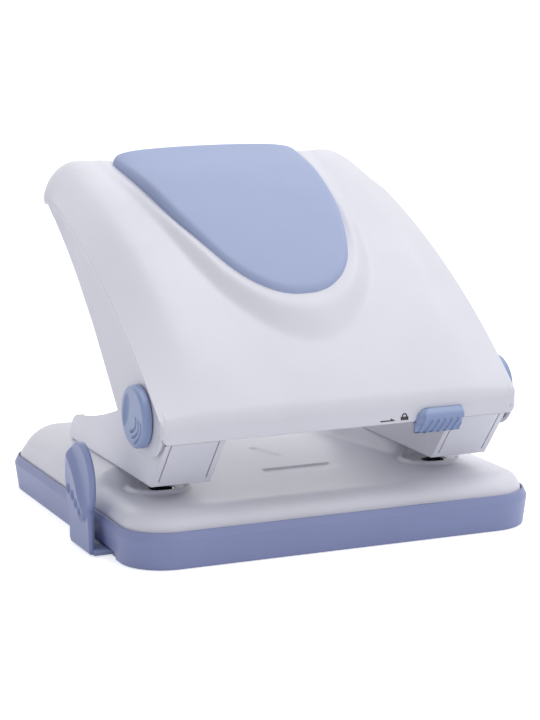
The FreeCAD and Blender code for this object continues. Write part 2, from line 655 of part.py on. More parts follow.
def nose_face(x):
    """A cam nose's side at one place along X. Its lower edge is an involute of a circle as large as
    the pin's arm, so that the pin's travel keeps step with the handle's angle."""
    arm = size.pin_arm
    curve = []
    for i in range(5):
        angle = press * i / 4
        string = size.nose_drop + arm * angle
        curve.append(Vector(x, arm * math.cos(angle) + string * math.sin(angle),
                            arm * math.sin(angle) - string * math.cos(angle)))
    nose = Part.BSplineCurve()
    nose.interpolate(curve)
    last = curve[-1]
    corners = [last, Vector(x, last.y + size.nose_heel, last.z + size.nose_heel_rise),
               Vector(x, size.nose_back, size.nose_back_rise), Vector(x, size.nose_front, size.nose_front_rise),
               Vector(x, size.nose_front, -size.ear_chin_drop), curve[0]]
    edges = [nose.toShape()] + [Part.makeLine(a, b) for a, b in zip(corners, corners[1:])]
    return Part.Face(Part.Wire(edges))


def make_pressers():
    start = channel_inner + size.lever_gap + size.lever_sheet
    width = channel_outer - size.lever_gap - size.lever_sheet - start
    for x, label in ((-start - width, "left_presser"), (start, "right_presser")):
        shaped(label, nose_face(x).extrude(Vector(width, 0, 0)), at_pivot)


def make_bushes():
    bush = turned("bush_pattern", [
        ("Sizes.axle_radius + Sizes.fit_clearance", "0"), ("Sizes.bush_radius", "0"),
        ("Sizes.bush_radius", "Sizes.bush_length"), ("Sizes.axle_radius + Sizes.fit_clearance", "Sizes.bush_length")])
    spare = (size.bush_length - size.lever_sheet) / 2
    along_x = Rotation(Vector(0, 1, 0), 90)
    copies("pivot_bushes", bush,
           [Placement(pivot + Vector(start - spare, 0, 0), along_x) for start in ear_starts()])


def screw_places():
    return [(side * size.screw_spread, along) for side in (-1, 1)
            for along in (size.screw_first, size.screw_last)]


def screw_point(x, along):
    """The point on the lever's top face where a cover screw passes, about the axle."""
    return plate_start + along_plate * along + Vector(x, 0, 0)


def make_cover_screws():
    head = "Sizes.screw_head_radius"
    screw = turned("screw_pattern", [
        ("0", "-Sizes.lever_sheet - Sizes.screw_head_height"),
        (head + " - 0.6", "-Sizes.lever_sheet - Sizes.screw_head_height"),
        (head, "-Sizes.lever_sheet - Sizes.screw_head_height + 0.6"), (head, "-Sizes.lever_sheet"),
        ("Sizes.screw_radius", "-Sizes.lever_sheet"), ("Sizes.screw_radius", "Sizes.screw_grip - 1"),
        ("0", "Sizes.screw_grip")])
    upright = Rotation(Vector(0, 0, 1), off_plate)
    copies("cover_screws", screw,
           [Placement(pivot + screw_point(x, along), upright) for x, along in screw_places()])


# ---- handle cover: a moulded shell, drawn about the axle ----

def eased_rise(y, start, end, front_slope, rear_slope):
    """Height of a smooth curve from start to end, (y, z), with a slope in degrees at each end."""
    run = end[0] - start[0]
    share = (y - start[0]) / run
    rise = (2 * share ** 3 - 3 * share ** 2 + 1) * start[1] + (3 * share ** 2 - 2 * share ** 3) * end[1]
    rise += (share ** 3 - 2 * share ** 2 + share) * run * math.tan(math.radians(front_slope))
    rise += (share ** 3 - share ** 2) * run * math.tan(math.radians(rear_slope))
    return rise


def crown_height(y):
    """The middle of the cover's top."""
    start = (-size.lip_reach, size.lip_top)
    return eased_rise(y, start, (size.handle_reach, size.handle_rise),
                      size.crown_front_slope, size.crown_rear_slope)


def fold_height(y):
    """The crease where the top's rounded edge meets the side wall."""
    start = (-size.lip_reach, size.lip_top - size.lip_crease)
    return eased_rise(y, start, (size.handle_reach, size.handle_rise - size.band_drop),
                      size.fold_front_slope, size.fold_rear_slope)


def top_shift(y, inset, lift):
    """How far an inset or raised copy of the top lies above the cover's own top."""
    step = 0.5
    tilt = math.atan2(crown_height(y + step) - crown_height(y - step), 2 * step)
    return lift - inset / math.cos(tilt)


def cover_section(y, inset, lift):
    """A closed cross-section of the cover at one distance from the axle."""
    half = size.handle_width / 2 - inset
    share = (y + size.lip_reach) / (size.handle_reach + size.lip_reach)
    band = size.band_front + (size.band_rear - size.band_front) * share
    shift = top_shift(y, inset, lift)
    top = crown_height(y) + shift
    fold = fold_height(y) + shift
    low = -2 * size.lobe_radius
    middle = (half - 0.35 * band, fold + 0.72 * (top - fold))
    points = [Vector(-half, y, low), Vector(-half, y, fold), Vector(-half + band, y, top),
              Vector(half - band, y, top), Vector(half, y, fold), Vector(half, y, low)]
    edges = [Part.makeLine(points[0], points[1]),
             Part.Arc(points[1], Vector(-middle[0], y, middle[1]), points[2]).toShape(),
             Part.makeLine(points[2], points[3]),
             Part.Arc(points[3], Vector(middle[0], y, middle[1]), points[4]).toShape(),
             Part.makeLine(points[4], points[5]), Part.makeLine(points[5], points[0])]
    return Part.Wire(edges)


def cover_block(inset=0.0, lift_front=0.0, lift_rear=0.0):
    """The cover's outside as a solid, or an inset or raised copy of it."""
    start = -size.lip_reach + (size.lip_wall if inset else 0)
    end = size.handle_reach - inset
    wires = []
    for share in (0, 0.06, 0.15, 0.3, 0.45, 0.6, 0.75, 0.9, 1):
        y = start + (end - start) * share
        wires.append(cover_section(y, inset, lift_front + (lift_rear - lift_front) * share))
    block = Part.makeLoft(wires, True, False)

    # The rear is rounded in plan at its corners, and rolled over along its top edge.
    half = size.handle_width / 2 - inset
    corner = size.rear_corner - inset
    plan = flat_face(rounded_rectangle(half, end + size.rear_corner, corner)).extrude(Vector(0, 0, 200))
    plan.translate(Vector(0, -size.rear_corner, -100))
    roll = size.rear_round - inset
    brink = end - roll
    peak = crown_height(brink) + top_shift(brink, inset, lift_rear)
    across = Vector(2 * half, 0, 0)
    bend = Part.Arc(Vector(-half, end, peak - roll),
                    Vector(-half, brink + roll * math.sqrt(0.5), peak - roll * (1 - math.sqrt(0.5))),
                    Vector(-half, brink, peak))
    corners = [Vector(-half, y, z) for y, z in ((brink, peak), (brink, 200), (start - 1, 200),
                                                (start - 1, -100), (end, -100), (end, peak - roll))]
    edges = [bend.toShape()] + [Part.makeLine(a, b) for a, b in zip(corners, corners[1:])]
    rolled = Part.Face(Part.Wire(edges)).extrude(across)
    return block.common(plan).common(rolled)


def wall_outline():
    """What is left of the cover's sides: the lobe round the axle and the sloping rear edge."""
    lobe = size.lobe_radius
    front = -size.lip_reach - 1
    reach = size.lobe_reach
    skirt = size.handle_rise - size.skirt_height
    top = size.handle_rise + 20
    arc = Part.Arc(Vector(0, -reach, -size.slit_top),
                   Vector(0, -0.6 * reach, -0.5 * (lobe + size.slit_top) - 0.18 * reach),
                   Vector(0, 0, -lobe))
    corners = [(0, -lobe), (0.6 * size.wall_heel_reach, -0.92 * lobe), (size.wall_heel_reach, -size.wall_heel_drop),
               (size.wall_middle_reach, size.wall_middle_rise), (size.wall_rear_reach, size.wall_rear_rise),
               (size.wall_rear_reach + size.wall_skirt_run, skirt), (size.handle_reach + 1, skirt), (size.handle_reach + 1, top),
               (front, top), (front, -size.slit_top), (-reach, -size.slit_top)]
    points = [Vector(0, y, z) for y, z in corners]
    edges = [arc.toShape()] + [Part.makeLine(a, b) for a, b in zip(points, points[1:])]
    half = size.handle_width / 2
    prism = Part.Face(Part.Wire(edges)).extrude(Vector(2 * half, 0, 0))
    prism.translate(Vector(-half, 0, 0))
    return prism


def tongue_prism(tip, rear, side_points, low, high):
    """An upright prism over a tongue-shaped plan: a smooth round front and a straight rear."""
    right = [Vector(x, y, low) for x, y in side_points]
    left = [Vector(-x, y, low) for x, y in reversed(side_points)]
    curve = Part.BSplineCurve()
    curve.interpolate(left + [Vector(0, tip, low)] + right)
    rear_right = Vector(right[-1].x, rear, low)
    rear_left = Vector(left[0].x, rear, low)
    edges = [curve.toShape(), Part.makeLine(right[-1], rear_right), Part.makeLine(rear_right, rear_left),
             Part.makeLine(rear_left, left[0])]
    return Part.Face(Part.Wire(edges)).extrude(Vector(0, 0, high - low))


def pad_points(grow=0.0):
    """Half of the pad's plan, from beside its tip to its rear corner, as (x, y)."""
    half = size.pad_half_width
    run = size.pad_rear - size.pad_tip
    shares = [(0.34, 0.037), (0.62, 0.16), (0.82, 0.41), (0.92, 0.66), (1.0, 0.95)]
    return [(half * across + grow, size.pad_tip + run * back - grow * (1 - back)) for across, back in shares]


def collar_points():
    """Half of the collar's plan: wide ahead of the pad's tip and narrow beside it."""
    half = size.pad_half_width
    run = size.pad_rear - size.pad_tip
    tip = size.pad_tip - size.collar_width
    shares = [(0.40, 0.06), (0.68, 0.18), (0.82, 0.34), (0.91, 0.6), (1.0, 0.96)]
    return [(half * across + size.collar_side * back, tip + (run + size.collar_width) * back)
            for across, back in shares]


def peg_places():
    return [(0.0, 0.5 * size.pad_rear), (-size.peg_spread, 0.82 * size.pad_rear),
            (size.peg_spread, 0.82 * size.pad_rear)]


def make_handle_cover():
    outside = cover_block()
    inside = cover_block(inset=size.cover_wall)
    shell = outside.cut(inside)
    half = size.handle_width / 2
    lip = Part.makeBox(2 * (half - size.lip_end), size.lip_wall + 0.4, size.lip_drop + size.lip_top,
                       Vector(-half + size.lip_end, -size.lip_reach - 0.2, -size.lip_drop))
    shell = shell.common(wall_outline().fuse(lip))

    low, high = 0, size.handle_rise + 20
    ring = tongue_prism(size.pad_tip - size.collar_width, size.handle_reach, collar_points(), low, high)
    pad_hole = tongue_prism(size.pad_tip - size.pad_gap, size.handle_reach + 1, pad_points(size.pad_gap), low, high)
    raised = cover_block(lift_front=size.collar_front, lift_rear=size.collar_rear)
    collar = raised.common(ring).cut([pad_hole, outside])

    bosses = []
    bores = [rod_along_x(size.axle_radius + size.fit_clearance, -half - 1, half + 1)]
    for x, along in screw_places():
        point = screw_point(x, along)
        boss = Part.makeCylinder(size.boss_radius, 30, point, off_plate)
        bosses.append(boss.common(cover_block(inset=0.5 * size.cover_wall)))
        bores.append(Part.makeCylinder(size.screw_radius, size.screw_grip, point, off_plate))
    for x, y in peg_places():
        bores.append(Part.makeCylinder(size.peg_radius + 2 * size.fit_clearance, 4 * size.peg_length,
                                       Vector(x, y, crown_height(y) - 2 * size.peg_length)))
    cover = shell.fuse([collar] + bosses).cut(bores)
    shaped("handle_cover", cover, at_pivot)


def make_grip_pad():
    wires = []
    start, end = size.pad_tip - size.collar_width, size.pad_rear
    half = size.pad_half_width
    for i in range(9):
        y = start + (end - start) * i / 8
        low = crown_height(y) - 3 * size.peg_length
        side = crown_height(y) + size.pad_edge
        crown = size.pad_tip_crown + (size.pad_crown - size.pad_tip_crown) * min(1, i / 3)
        left, right = Vector(-half, y, side), Vector(half, y, side)
        top = Part.Arc(left, Vector(0, y, side + crown), right).toShape()
        bottom_left, bottom_right = Vector(-half, y, low), Vector(half, y, low)
        wires.append(Part.Wire([top, Part.makeLine(right, bottom_right),
                                Part.makeLine(bottom_right, bottom_left), Part.makeLine(bottom_left, left)]))
    crowned = Part.makeLoft(wires, True, False)
    plan = tongue_prism(size.pad_tip, size.pad_rear, pad_points(), 0, size.handle_rise + 20)
    seat = cover_block(lift_front=size.pad_seat, lift_rear=size.pad_seat)
    pad = plan.common(crowned).cut(seat)
    for x, y in peg_places():
        peg = Part.makeCylinder(size.peg_radius, size.peg_length + size.pad_edge / 2,
                                Vector(x, y, crown_height(y) - size.peg_length))
        pad = pad.fuse(peg)
    shaped("grip_pad", pad, at_pivot)


# ---- lever lock: a ribbed slide on the lip, with a steel latch behind it ----

def make_lock_button():
    body = doc.addObject("PartDesign::Body", "lock_button")
    back = "-Sizes.lip_reach - Sizes.lock_gap"
    front = back + " - Sizes.lock_thickness"
    lip_low = "-Sizes.lip_drop - Sizes.lock_gap"
    low = lip_low + " - (Sizes.lock_height - Sizes.lock_overlap)"
    top = low + " + Sizes.lock_height"
    rear = "-Sizes.lip_reach + Sizes.lip_wall + Sizes.lock_gap - 0.1"
    nose = top + " - Sizes.lock_nose"

    def draw_section(sketch):
        draw_outline(sketch, [
            (back + " + 0.3", low), (rear, low), (rear, lip_low), (back, lip_low), (back, top),
            (back + " - 0.8", top), (front, nose + " + Sizes.lock_bevel"), (front, nose + " - Sizes.lock_bevel")])

    padded(body, "lock_button_pad", "YZ_Plane", "Sizes.lock_start", "Sizes.lock_width", draw_section)
    place(body, "0", PIVOT_Y, "Sizes.pivot_height")
    keep("lock_button", body)


def make_lock_latch():
    rear = -size.lip_reach + size.lip_wall + size.lock_gap - 0.1
    low = -size.lip_drop - size.lock_gap - (size.lock_height - size.lock_overlap)
    top = -size.tongue_drop
    sheet_edge = rear + size.latch_sheet
    corners = [(rear, low), (sheet_edge, low), (sheet_edge, top - size.latch_sheet),
               (sheet_edge + size.tongue_length, top - size.latch_sheet), (sheet_edge + size.tongue_length, top),
               (rear, top)]
    latch = side_prism(corners, size.latch_start, size.latch_start + size.latch_width)
    # Below the lip the sheet is only as wide as its seat behind the button.
    beside_seat = size.lock_start - size.latch_start
    below_lip = Part.makeBox(beside_seat, 3 * size.lip_wall, -size.lip_drop - low,
                             Vector(size.latch_start, rear - size.lip_wall, low))
    latch = latch.cut(below_lip)
    shaped("lock_latch", latch, at_pivot)


# ---- paper guide: an upright blade on a dovetail bar ----

def make_paper_guide():
    outer_x = -size.base_width / 2 - size.blade_gap - size.blade_thickness
    inner_x = outer_x + size.blade_thickness
    foot, waist = size.blade_width / 2, size.blade_waist / 2
    low, level = size.bar_lift, size.waist_level
    stem = side_prism([(guide_y - foot, low), (guide_y + foot - 2.5, low), (guide_y + foot, low + 2),
                       (guide_y + waist, level), (guide_y - waist, level)], outer_x, inner_x)
    centre = Vector(outer_x - size.head_proud, guide_y, size.head_top - size.head_length / 2)
    half_height, half_width = size.head_length / 2, size.head_width / 2
    head = oval_disc(centre, half_height, half_width, size.blade_thickness + size.head_proud)
    outer_rim = [edge for edge in head.Edges if edge.BoundBox.XMax < centre.x + 0.01]
    head = head.makeChamfer(size.head_proud, outer_rim)
    scoop = oval_disc(centre, half_height - size.scoop_rim, half_width - size.scoop_rim, size.scoop_depth)
    bar = side_prism(dovetail(0, low, low + size.bar_thickness), inner_x - 0.5, inner_x + size.bar_length)
    shaped("paper_guide", stem.fuse([head, bar]).cut(scoop).removeSplitter())


def oval_disc(centre, half_height, half_width, thickness):
    """An upright oval disc whose outer face is at the centre given, thick towards +X."""
    ellipse = Part.Ellipse(Vector(0, 0, 0), half_height, half_width)
    disc = Part.Face(Part.Wire(ellipse.toShape())).extrude(Vector(0, 0, thickness))
    turn = Rotation(Vector(0, 0, 1), Vector(0, 1, 0), Vector(1, 0, 0), "ZYX")
    disc.Placement = Placement(centre, turn)
    return disc


# ---- build, check and write ----

make_chip_tray()
make_rubber_feet()
make_base_plate()
make_dies()
make_brackets()
make_keeper()
make_rivets()
make_pin_guides()
make_punch_pins()
make_pin_washers()
make_pin_springs()
make_axle()
make_axle_clips()
make_caps()
make_lever_frame()
make_pressers()
make_bushes()
make_cover_screws()
make_handle_cover()
make_grip_pad()
make_lock_button()
make_lock_latch()
make_paper_guide()
doc.recompute()

for item in doc.Objects:
    if "Invalid" in item.State or "Error" in item.State:
        raise RuntimeError("%s did not recompute: %s" % (item.Label, item.State))
for label, item in parts.items():
    if item.Shape.isNull() or not item.Shape.isValid() or not item.Shape.Solids:
        raise RuntimeError("%s has no valid shape" % label)

os.makedirs("parts", exist_ok=True)
for label, item in parts.items():
    item.Shape.exportStep("parts/%s.step" % label)
    print("%-18s %2d solids %10.1f mm3" % (label, len(item.Shape.Solids), item.Shape.Volume))
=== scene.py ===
import math

import bmesh
import bpy
import numpy as np
from mathutils import Matrix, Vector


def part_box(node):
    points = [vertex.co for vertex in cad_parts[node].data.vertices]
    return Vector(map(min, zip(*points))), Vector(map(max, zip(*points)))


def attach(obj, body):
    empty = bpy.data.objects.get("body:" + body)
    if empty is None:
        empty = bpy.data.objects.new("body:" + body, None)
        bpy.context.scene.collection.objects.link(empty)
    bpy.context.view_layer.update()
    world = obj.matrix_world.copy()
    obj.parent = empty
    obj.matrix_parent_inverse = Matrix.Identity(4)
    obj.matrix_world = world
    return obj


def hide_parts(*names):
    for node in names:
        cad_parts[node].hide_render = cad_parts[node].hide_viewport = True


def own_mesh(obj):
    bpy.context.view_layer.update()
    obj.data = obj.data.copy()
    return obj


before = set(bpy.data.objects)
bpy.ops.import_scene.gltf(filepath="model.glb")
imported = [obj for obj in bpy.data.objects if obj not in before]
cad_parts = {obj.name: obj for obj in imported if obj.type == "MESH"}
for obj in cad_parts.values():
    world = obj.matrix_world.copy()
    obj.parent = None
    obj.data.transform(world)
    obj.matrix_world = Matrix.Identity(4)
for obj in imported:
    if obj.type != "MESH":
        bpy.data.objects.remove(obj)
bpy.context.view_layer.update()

# ---- camera ----
# A long lens on a stand, left of the punch and a little above the handle, so that upright edges stay
# nearly upright.

camera_place = (-0.24090, -0.57470, 0.15680)
heading, dip, lean = math.radians(22.969), math.radians(10.543), math.radians(0.451)
ahead = np.array([math.sin(heading) * math.cos(dip), math.cos(heading) * math.cos(dip), -math.sin(dip)])
level_right = np.array([math.cos(heading), -math.sin(heading), 0.0])
level_down = np.cross(ahead, level_right)
right = math.cos(lean) * level_right + math.sin(lean) * level_down
up = math.sin(lean) * level_right - math.cos(lean) * level_down
lens = bpy.data.cameras.new("camera")
lens.lens = 114.07
lens.sensor_fit = "VERTICAL"
lens.sensor_height = 36.0
lens.clip_start = 0.01
camera = bpy.data.objects.new("camera", lens)
aim = Matrix([[right[i], up[i], -ahead[i]] for i in range(3)]).to_4x4()
camera.matrix_world = Matrix.Translation(camera_place) @ aim
bpy.context.scene.collection.objects.link(camera)
bpy.context.scene.camera = camera
bpy.context.scene.view_settings.view_transform = "Standard"

# ---- table top and studio light ----
# A seamless white table under one large soft lamp overhead, with a weak low lamp in front, one behind
# and a white room all round, so that the moulded surfaces shade softly and nothing glares.


def linear(code):
    """An sRGB hex colour, such as #E2E2E8, as linear red, green, blue and alpha."""
    values = [int(code[i:i + 2], 16) / 255 for i in (1, 3, 5)]
    return [v / 12.92 if v <= 0.04045 else ((v + 0.055) / 1.055) ** 2.4 for v in values] + [1.0]


def add(tree, kind, settings=None, links=None, values=None):
    """One node: attributes from settings, unlinked sockets from values, linked sockets from links."""
    node = tree.nodes.new(kind)
    for name, value in (settings or {}).items():
        setattr(node, name, value)
    for name, value in (values or {}).items():
        node.inputs[name].default_value = value
    for name, source in (links or {}).items():
        tree.links.new(source, node.inputs[name])
    return node


def bare(name):
    """A material with an empty node tree, and that tree."""
    material = bpy.data.materials.new(name)
    material.use_nodes = True
    material.node_tree.nodes.clear()
    return material, material.node_tree


# The room glows faintly on the punch, and is plain white to the camera and in reflections.
world = bpy.data.worlds.new("white_room")
bpy.context.scene.world = world
world.use_nodes = True
room = world.node_tree
room.nodes.clear()
rays = add(room, "ShaderNodeLightPath")
seen = add(room, "ShaderNodeMath", {"operation": "MAXIMUM"},
           {0: rays.outputs["Is Camera Ray"], 1: rays.outputs["Is Glossy Ray"]})
glow = add(room, "ShaderNodeBackground", values={"Color": linear("#F2F3FA"), "Strength": 0.60})
white = add(room, "ShaderNodeBackground", values={"Color": linear("#FFFFFF"), "Strength": 1.0})
both = add(room, "ShaderNodeMixShader", links={0: seen.outputs[0], 1: glow.outputs[0], 2: white.outputs[0]})
add(room, "ShaderNodeOutputWorld", links={"Surface": both.outputs[0]})

punch_middle = np.array([0.0, 0.0, 0.03])


def lamp(name, place, width, height, watts):
    """A soft white rectangular lamp at place that faces the middle of the punch."""
    light = bpy.data.lights.new(name, "AREA")
    light.shape = "RECTANGLE"
    light.size, light.size_y = width, height
    light.energy = watts
    item = bpy.data.objects.new(name, light)
    back = np.array(place, float) - punch_middle
    back /= np.linalg.norm(back)
    side = np.cross([0.0, 0.0, 1.0], back)
    side /= np.linalg.norm(side)
    above = np.cross(back, side)
    item.matrix_world = Matrix([[side[i], above[i], back[i], place[i]] for i in range(3)] + [[0, 0, 0, 1]])
    bpy.context.scene.collection.objects.link(item)


lamp("overhead_lamp", (0.40, 0.00, 0.90), 0.85, 0.85, 4.6)
lamp("front_lamp", (0.25, -1.00, 0.22), 1.0, 0.4, 0.55)
lamp("rear_lamp", (0.05, 0.85, 0.50), 1.0, 0.7, 1.6)

table_reach, table_level = 6.0, -0.0001
table_mesh = bpy.data.meshes.new("table_top")
table_mesh.from_pydata([(x * table_reach, y * table_reach, table_level) for x, y in
                        ((-1, -1), (1, -1), (1, 1), (-1, 1))], [], [(0, 1, 2, 3)])
table = bpy.data.objects.new("table_top", table_mesh)
bpy.context.scene.collection.objects.link(table)

# Matt studio paper: it takes the punch's soft shadow, and is lifted to white to the camera and gloss.
paper_lift = 0.62
paper_white, tree = bare("white_studio_paper")
rays = add(tree, "ShaderNodeLightPath")
lit = add(tree, "ShaderNodeMath", {"operation": "MAXIMUM"},
          {0: rays.outputs["Is Camera Ray"], 1: rays.outputs["Is Glossy Ray"]})
lift = add(tree, "ShaderNodeMath", {"operation": "MULTIPLY"}, {0: lit.outputs[0]}, {1: paper_lift})
matt = add(tree, "ShaderNodeBsdfDiffuse", values={"Color": linear("#F4F4F6")})
lamplight = add(tree, "ShaderNodeEmission", {}, {"Strength": lift.outputs[0]}, {"Color": linear("#FFFFFF")})
paper = add(tree, "ShaderNodeAddShader", links={0: matt.outputs[0], 1: lamplight.outputs[0]})
add(tree, "ShaderNodeOutputMaterial", links={"Surface": paper.outputs[0]})
table_mesh.materials.append(paper_white)


# ---- handle cover ----
# The shell of the hand lever, moulded in one piece from white ABS: a sloping top between two flat
# sides, a raised collar round the grip pad, and a lip along the front. Four screws hold it on the
# steel lever. Its sizes are in millimetres from the middle of the axle.

axle = np.array([0.0, -41.5, 37.2])
cover_half, cover_front, cover_rear, cover_wall = 50.2, -13.6, 87.9, 1.5
rear_corner, front_corner, rear_roll, lip_bend = 11.0, 1.4, 4.5, 1.9
lip_top, lip_low, lip_corner = 0.8, -5.1, 2.0
band_front, band_narrowing, band_bend = 12.5, 4.8, 1.25
crown_rear, crown_front_slope, crown_rear_slope = 57.4, 47.7, 14.5
crease_front, crease_rear, crease_front_slope, crease_rear_slope = 0.2, 53.2, 41.0, 16.0
shoulder_x, shoulder_half, shoulder_height, side_step = 37.0, 5.5, 0.75, 0.28


def eased(y, start, end, front_slope, rear_slope):
    """A cubic in y through start and end, (y, z), that leaves each with a given slope in degrees."""
    run = end[0] - start[0]
    share = (y - start[0]) / run
    rise = (2 * share ** 3 - 3 * share ** 2 + 1) * start[1] + (3 * share ** 2 - 2 * share ** 3) * end[1]
    rise = rise + (share ** 3 - 2 * share ** 2 + share) * run * math.tan(math.radians(front_slope))
    return rise + (share ** 3 - share ** 2) * run * math.tan(math.radians(rear_slope))


def crown(y):
    """Height of the cover's top over the axle, along its middle: an eased curve from lip to rear."""
    return eased(y, (cover_front, lip_top), (cover_rear, crown_rear), crown_front_slope, crown_rear_slope)


def crease(y):
    """Height of the line where the flat side meets the rounded edge of the top: a second eased curve."""
    return eased(y, (cover_front, crease_front), (cover_rear, crease_rear), crease_front_slope,
                 crease_rear_slope)


def ramp(value, start, end):
    """0 before start, 1 after end and a smooth S between them, 3 share squared less 2 share cubed."""
    share = np.clip((value - start) / (end - start), 0, 1)
    return share * share * (3 - 2 * share)


def round_over(distance, radius):
    """How far a quarter-round edge of that radius lies below the face, by distance from the edge."""
    rest = np.clip(radius - distance, 0, radius)
    return radius - np.sqrt(radius ** 2 - rest ** 2)


def smooth_line(points, count):
    """Points spread evenly along a Catmull-Rom curve: at each given point the cubic takes the slope of
    the chord between its neighbours."""
    points = np.asarray(points, float)
    ends = np.vstack([2 * points[0] - points[1], points, 2 * points[-1] - points[-2]])
    t = np.linspace(0, 1, 40)[:, None, None]
    a, b, c, d = (ends[k:len(ends) - 3 + k][None] for k in range(4))
    square, cube = 2 * a - 5 * b + 4 * c - d, 3 * b - a - 3 * c + d
    curve = 0.5 * (2 * b + (c - a) * t + square * t ** 2 + cube * t ** 3)
    curve = np.swapaxes(curve, 0, 1).reshape(-1, points.shape[1])
    length = np.concatenate([[0], np.cumsum(np.linalg.norm(np.diff(curve, axis=0), axis=1))])
    even = np.linspace(0, length[-1], count)
    return np.stack([np.interp(even, length, curve[:, k]) for k in range(points.shape[1])], 1)


def right_half(points):
    """A smooth outline from the point where it crosses the middle of the cover on."""
    line = smooth_line(points, 400)
    return line[np.argmin(np.abs(line[:, 0])):]


# The pad's outline, the crest of the collar and its foot, as (x, y), from behind the tip round one side.
pad_heart = np.array([0.0, 88.0])
pad_side = right_half([(-9.7, 13.6), (0, 10.8), (9.7, 13.5), (17.7, 22.4), (23.4, 40.4), (26.2, 58.5),
                       (28.5, 79.4), (28.8, 86.0)])
crest_side = right_half([(-6.3, 8.0), (0, 6.7), (6.3, 8.0), (11.2, 10.5), (15.3, 14.0), (18.8, 18.6),
                         (21.2, 23.3), (25.0, 35.7), (27.3, 48.0), (29.0, 60.0), (31.0, 78.0), (31.6, 90.0)])
foot_side = right_half([(-7.7, 3.3), (0, 1.6), (7.7, 3.3), (12.5, 6.2), (17.6, 11.0), (21.2, 16.0),
                        (23.6, 21.2), (25.6, 27.6), (28.0, 39.4), (30.0, 52.0), (31.6, 65.0), (33.2, 80.0),
                        (33.6, 90.0)])
collar_height, higher_at_tip, lower_along, lower_behind = 2.3, 1.4, 1.3, 0.65
gutter_width, gutter_depth, shallower_at_tip = 0.6, 0.55, 0.45


def reach(outline, angle):
    """Distance from the pad's heart to an outline, in the direction of an angle from straight ahead."""
    across, along = outline[:, 0], pad_heart[1] - outline[:, 1]
    return np.interp(angle, np.arctan2(across, along), np.hypot(across, along))


def soft_clip(value, bend):
    """The value kept between 0 and 1, with bends of that width at both ends."""
    return bend * (np.logaddexp(0, value / bend) - np.logaddexp(0, (value - 1) / bend))


def collar_rise(x, y):
    """Height of the collar: a gutter beside the pad, level at its tip, up to the crest, and from there
    a straight flank down to the cover's top."""
    angle = np.arctan2(np.abs(x), pad_heart[1] - y)
    distance = np.hypot(x, pad_heart[1] - y)
    pad_edge, crest, foot = (reach(line, angle) for line in (pad_side, crest_side, foot_side))
    at_tip = np.clip(1 - angle / 0.6, 0, 1)
    height = collar_height + higher_at_tip * at_tip - lower_along * ramp(y, 26, 60)
    height = height - lower_behind * ramp(y, 58, 80)
    run = foot - crest
    flank = soft_clip((foot - distance) / run, np.clip(0.45 / run, 0.06, 0.4))
    gutter_top = crest - gutter_width
    sunk = np.clip((gutter_top - distance) / (gutter_top - pad_edge), 0, 1) ** 1.6
    gutter = (gutter_depth - shallower_at_tip * ramp(at_tip, 0.1, 0.6)) * sunk
    beside_pad = ramp(distance, pad_edge - 2.6, pad_edge - 1.0)
    return height * np.clip(flank - gutter, 0, 1) * beside_pad


def cover_plan(y):
    """Half the width of the cover's plan at y: round corners at the rear, small ones at the front."""
    behind = np.clip(y - (cover_rear - rear_corner), 0, rear_corner)
    before = np.clip(cover_front + front_corner - y, 0, front_corner)
    return (cover_half - rear_corner + np.sqrt(rear_corner ** 2 - behind ** 2)
            - front_corner + np.sqrt(front_corner ** 2 - before ** 2))


def band_drop(edge, band):
    """Share of the fall from the crown to the crease, by distance in from the side: a flat sloping band
    that turns into the top over a short round, as a soft maximum of the slope and zero."""
    return np.logaddexp(0, (band - edge) / band_bend) / np.logaddexp(0, band / band_bend)


def cover_top(x, y):
    """Height of the cover's top: the crown, less a sloping band along the sides, a roll at the front
    and rear, and a round fall at the rear corners, plus a low shoulder beside the pad and the collar."""
    inner_x, inner_y = cover_half - rear_corner, cover_rear - rear_corner
    out_x, out_y = np.abs(x) - inner_x, y - inner_y
    corner = (out_x > 0) & (out_y > 0)
    edge = np.where(corner, rear_corner - np.hypot(out_x, out_y), rear_corner - np.maximum(out_x, out_y))
    edge = np.clip(edge, 0, None)
    facing = np.where(corner, np.arctan2(out_y, out_x), np.where(out_x > out_y, 0.0, math.pi / 2))
    share = np.clip((y - cover_front) / (cover_rear - cover_front), 0, 1)
    side = (crown(y) - crease(y)) * band_drop(edge, band_front - band_narrowing * share)
    roll = round_over(edge, rear_roll)
    side_roll = roll * ramp(y, 66, 84)
    rearward = np.sin(facing) ** 2
    drop = np.maximum(side * (1 - rearward), 0) + (1 - rearward) * side_roll + roll * rearward
    ahead_x, ahead_y = np.abs(x) - (cover_half - front_corner), cover_front + front_corner - y
    round_corner = (ahead_x > 0) & (ahead_y > 0)
    span = np.where(round_corner, np.hypot(ahead_x, ahead_y), ahead_y)
    forward = np.where(round_corner, (ahead_y / np.maximum(span, 1e-6)) ** 2, 1.0)
    bend = round_over(np.clip(front_corner - span, 0, None), lip_bend) * forward
    shoulder = shoulder_height * np.exp(-((np.abs(x) - shoulder_x) / shoulder_half) ** 2) * ramp(y, 40, 84)
    return crown(y) - drop - bend + shoulder + collar_rise(x, y)


# The lower edge of the sides, as (y, z): up from the lip, round the lobe under the axle and up the slope.
# The last stretch is the skirt at the rear.
side_edge = np.array([
    (-13.3, -2.9), (-12.7, -4.0), (-12.1, -4.95), (-11.0, -6.35), (-9.4, -7.85), (-7.86, -8.81), (-5.1, -9.8),
    (-2.6, -10.15), (0.0, -10.2), (4.5, -10.1), (8.7, -9.3), (14.5, -6.6), (20.2, -2.0), (26.2, 4.4),
    (38.5, 17.3), (51.0, 28.5), (64.4, 38.9), (74.5, 46.2), (78.0, 48.0)])
skirt_start = 70.0
skirt_edge = np.array([(skirt_start, 42.6), (75.5, 46.1), (80.0, 49.0), (84.0, 50.9), (88.0, 52.1)])


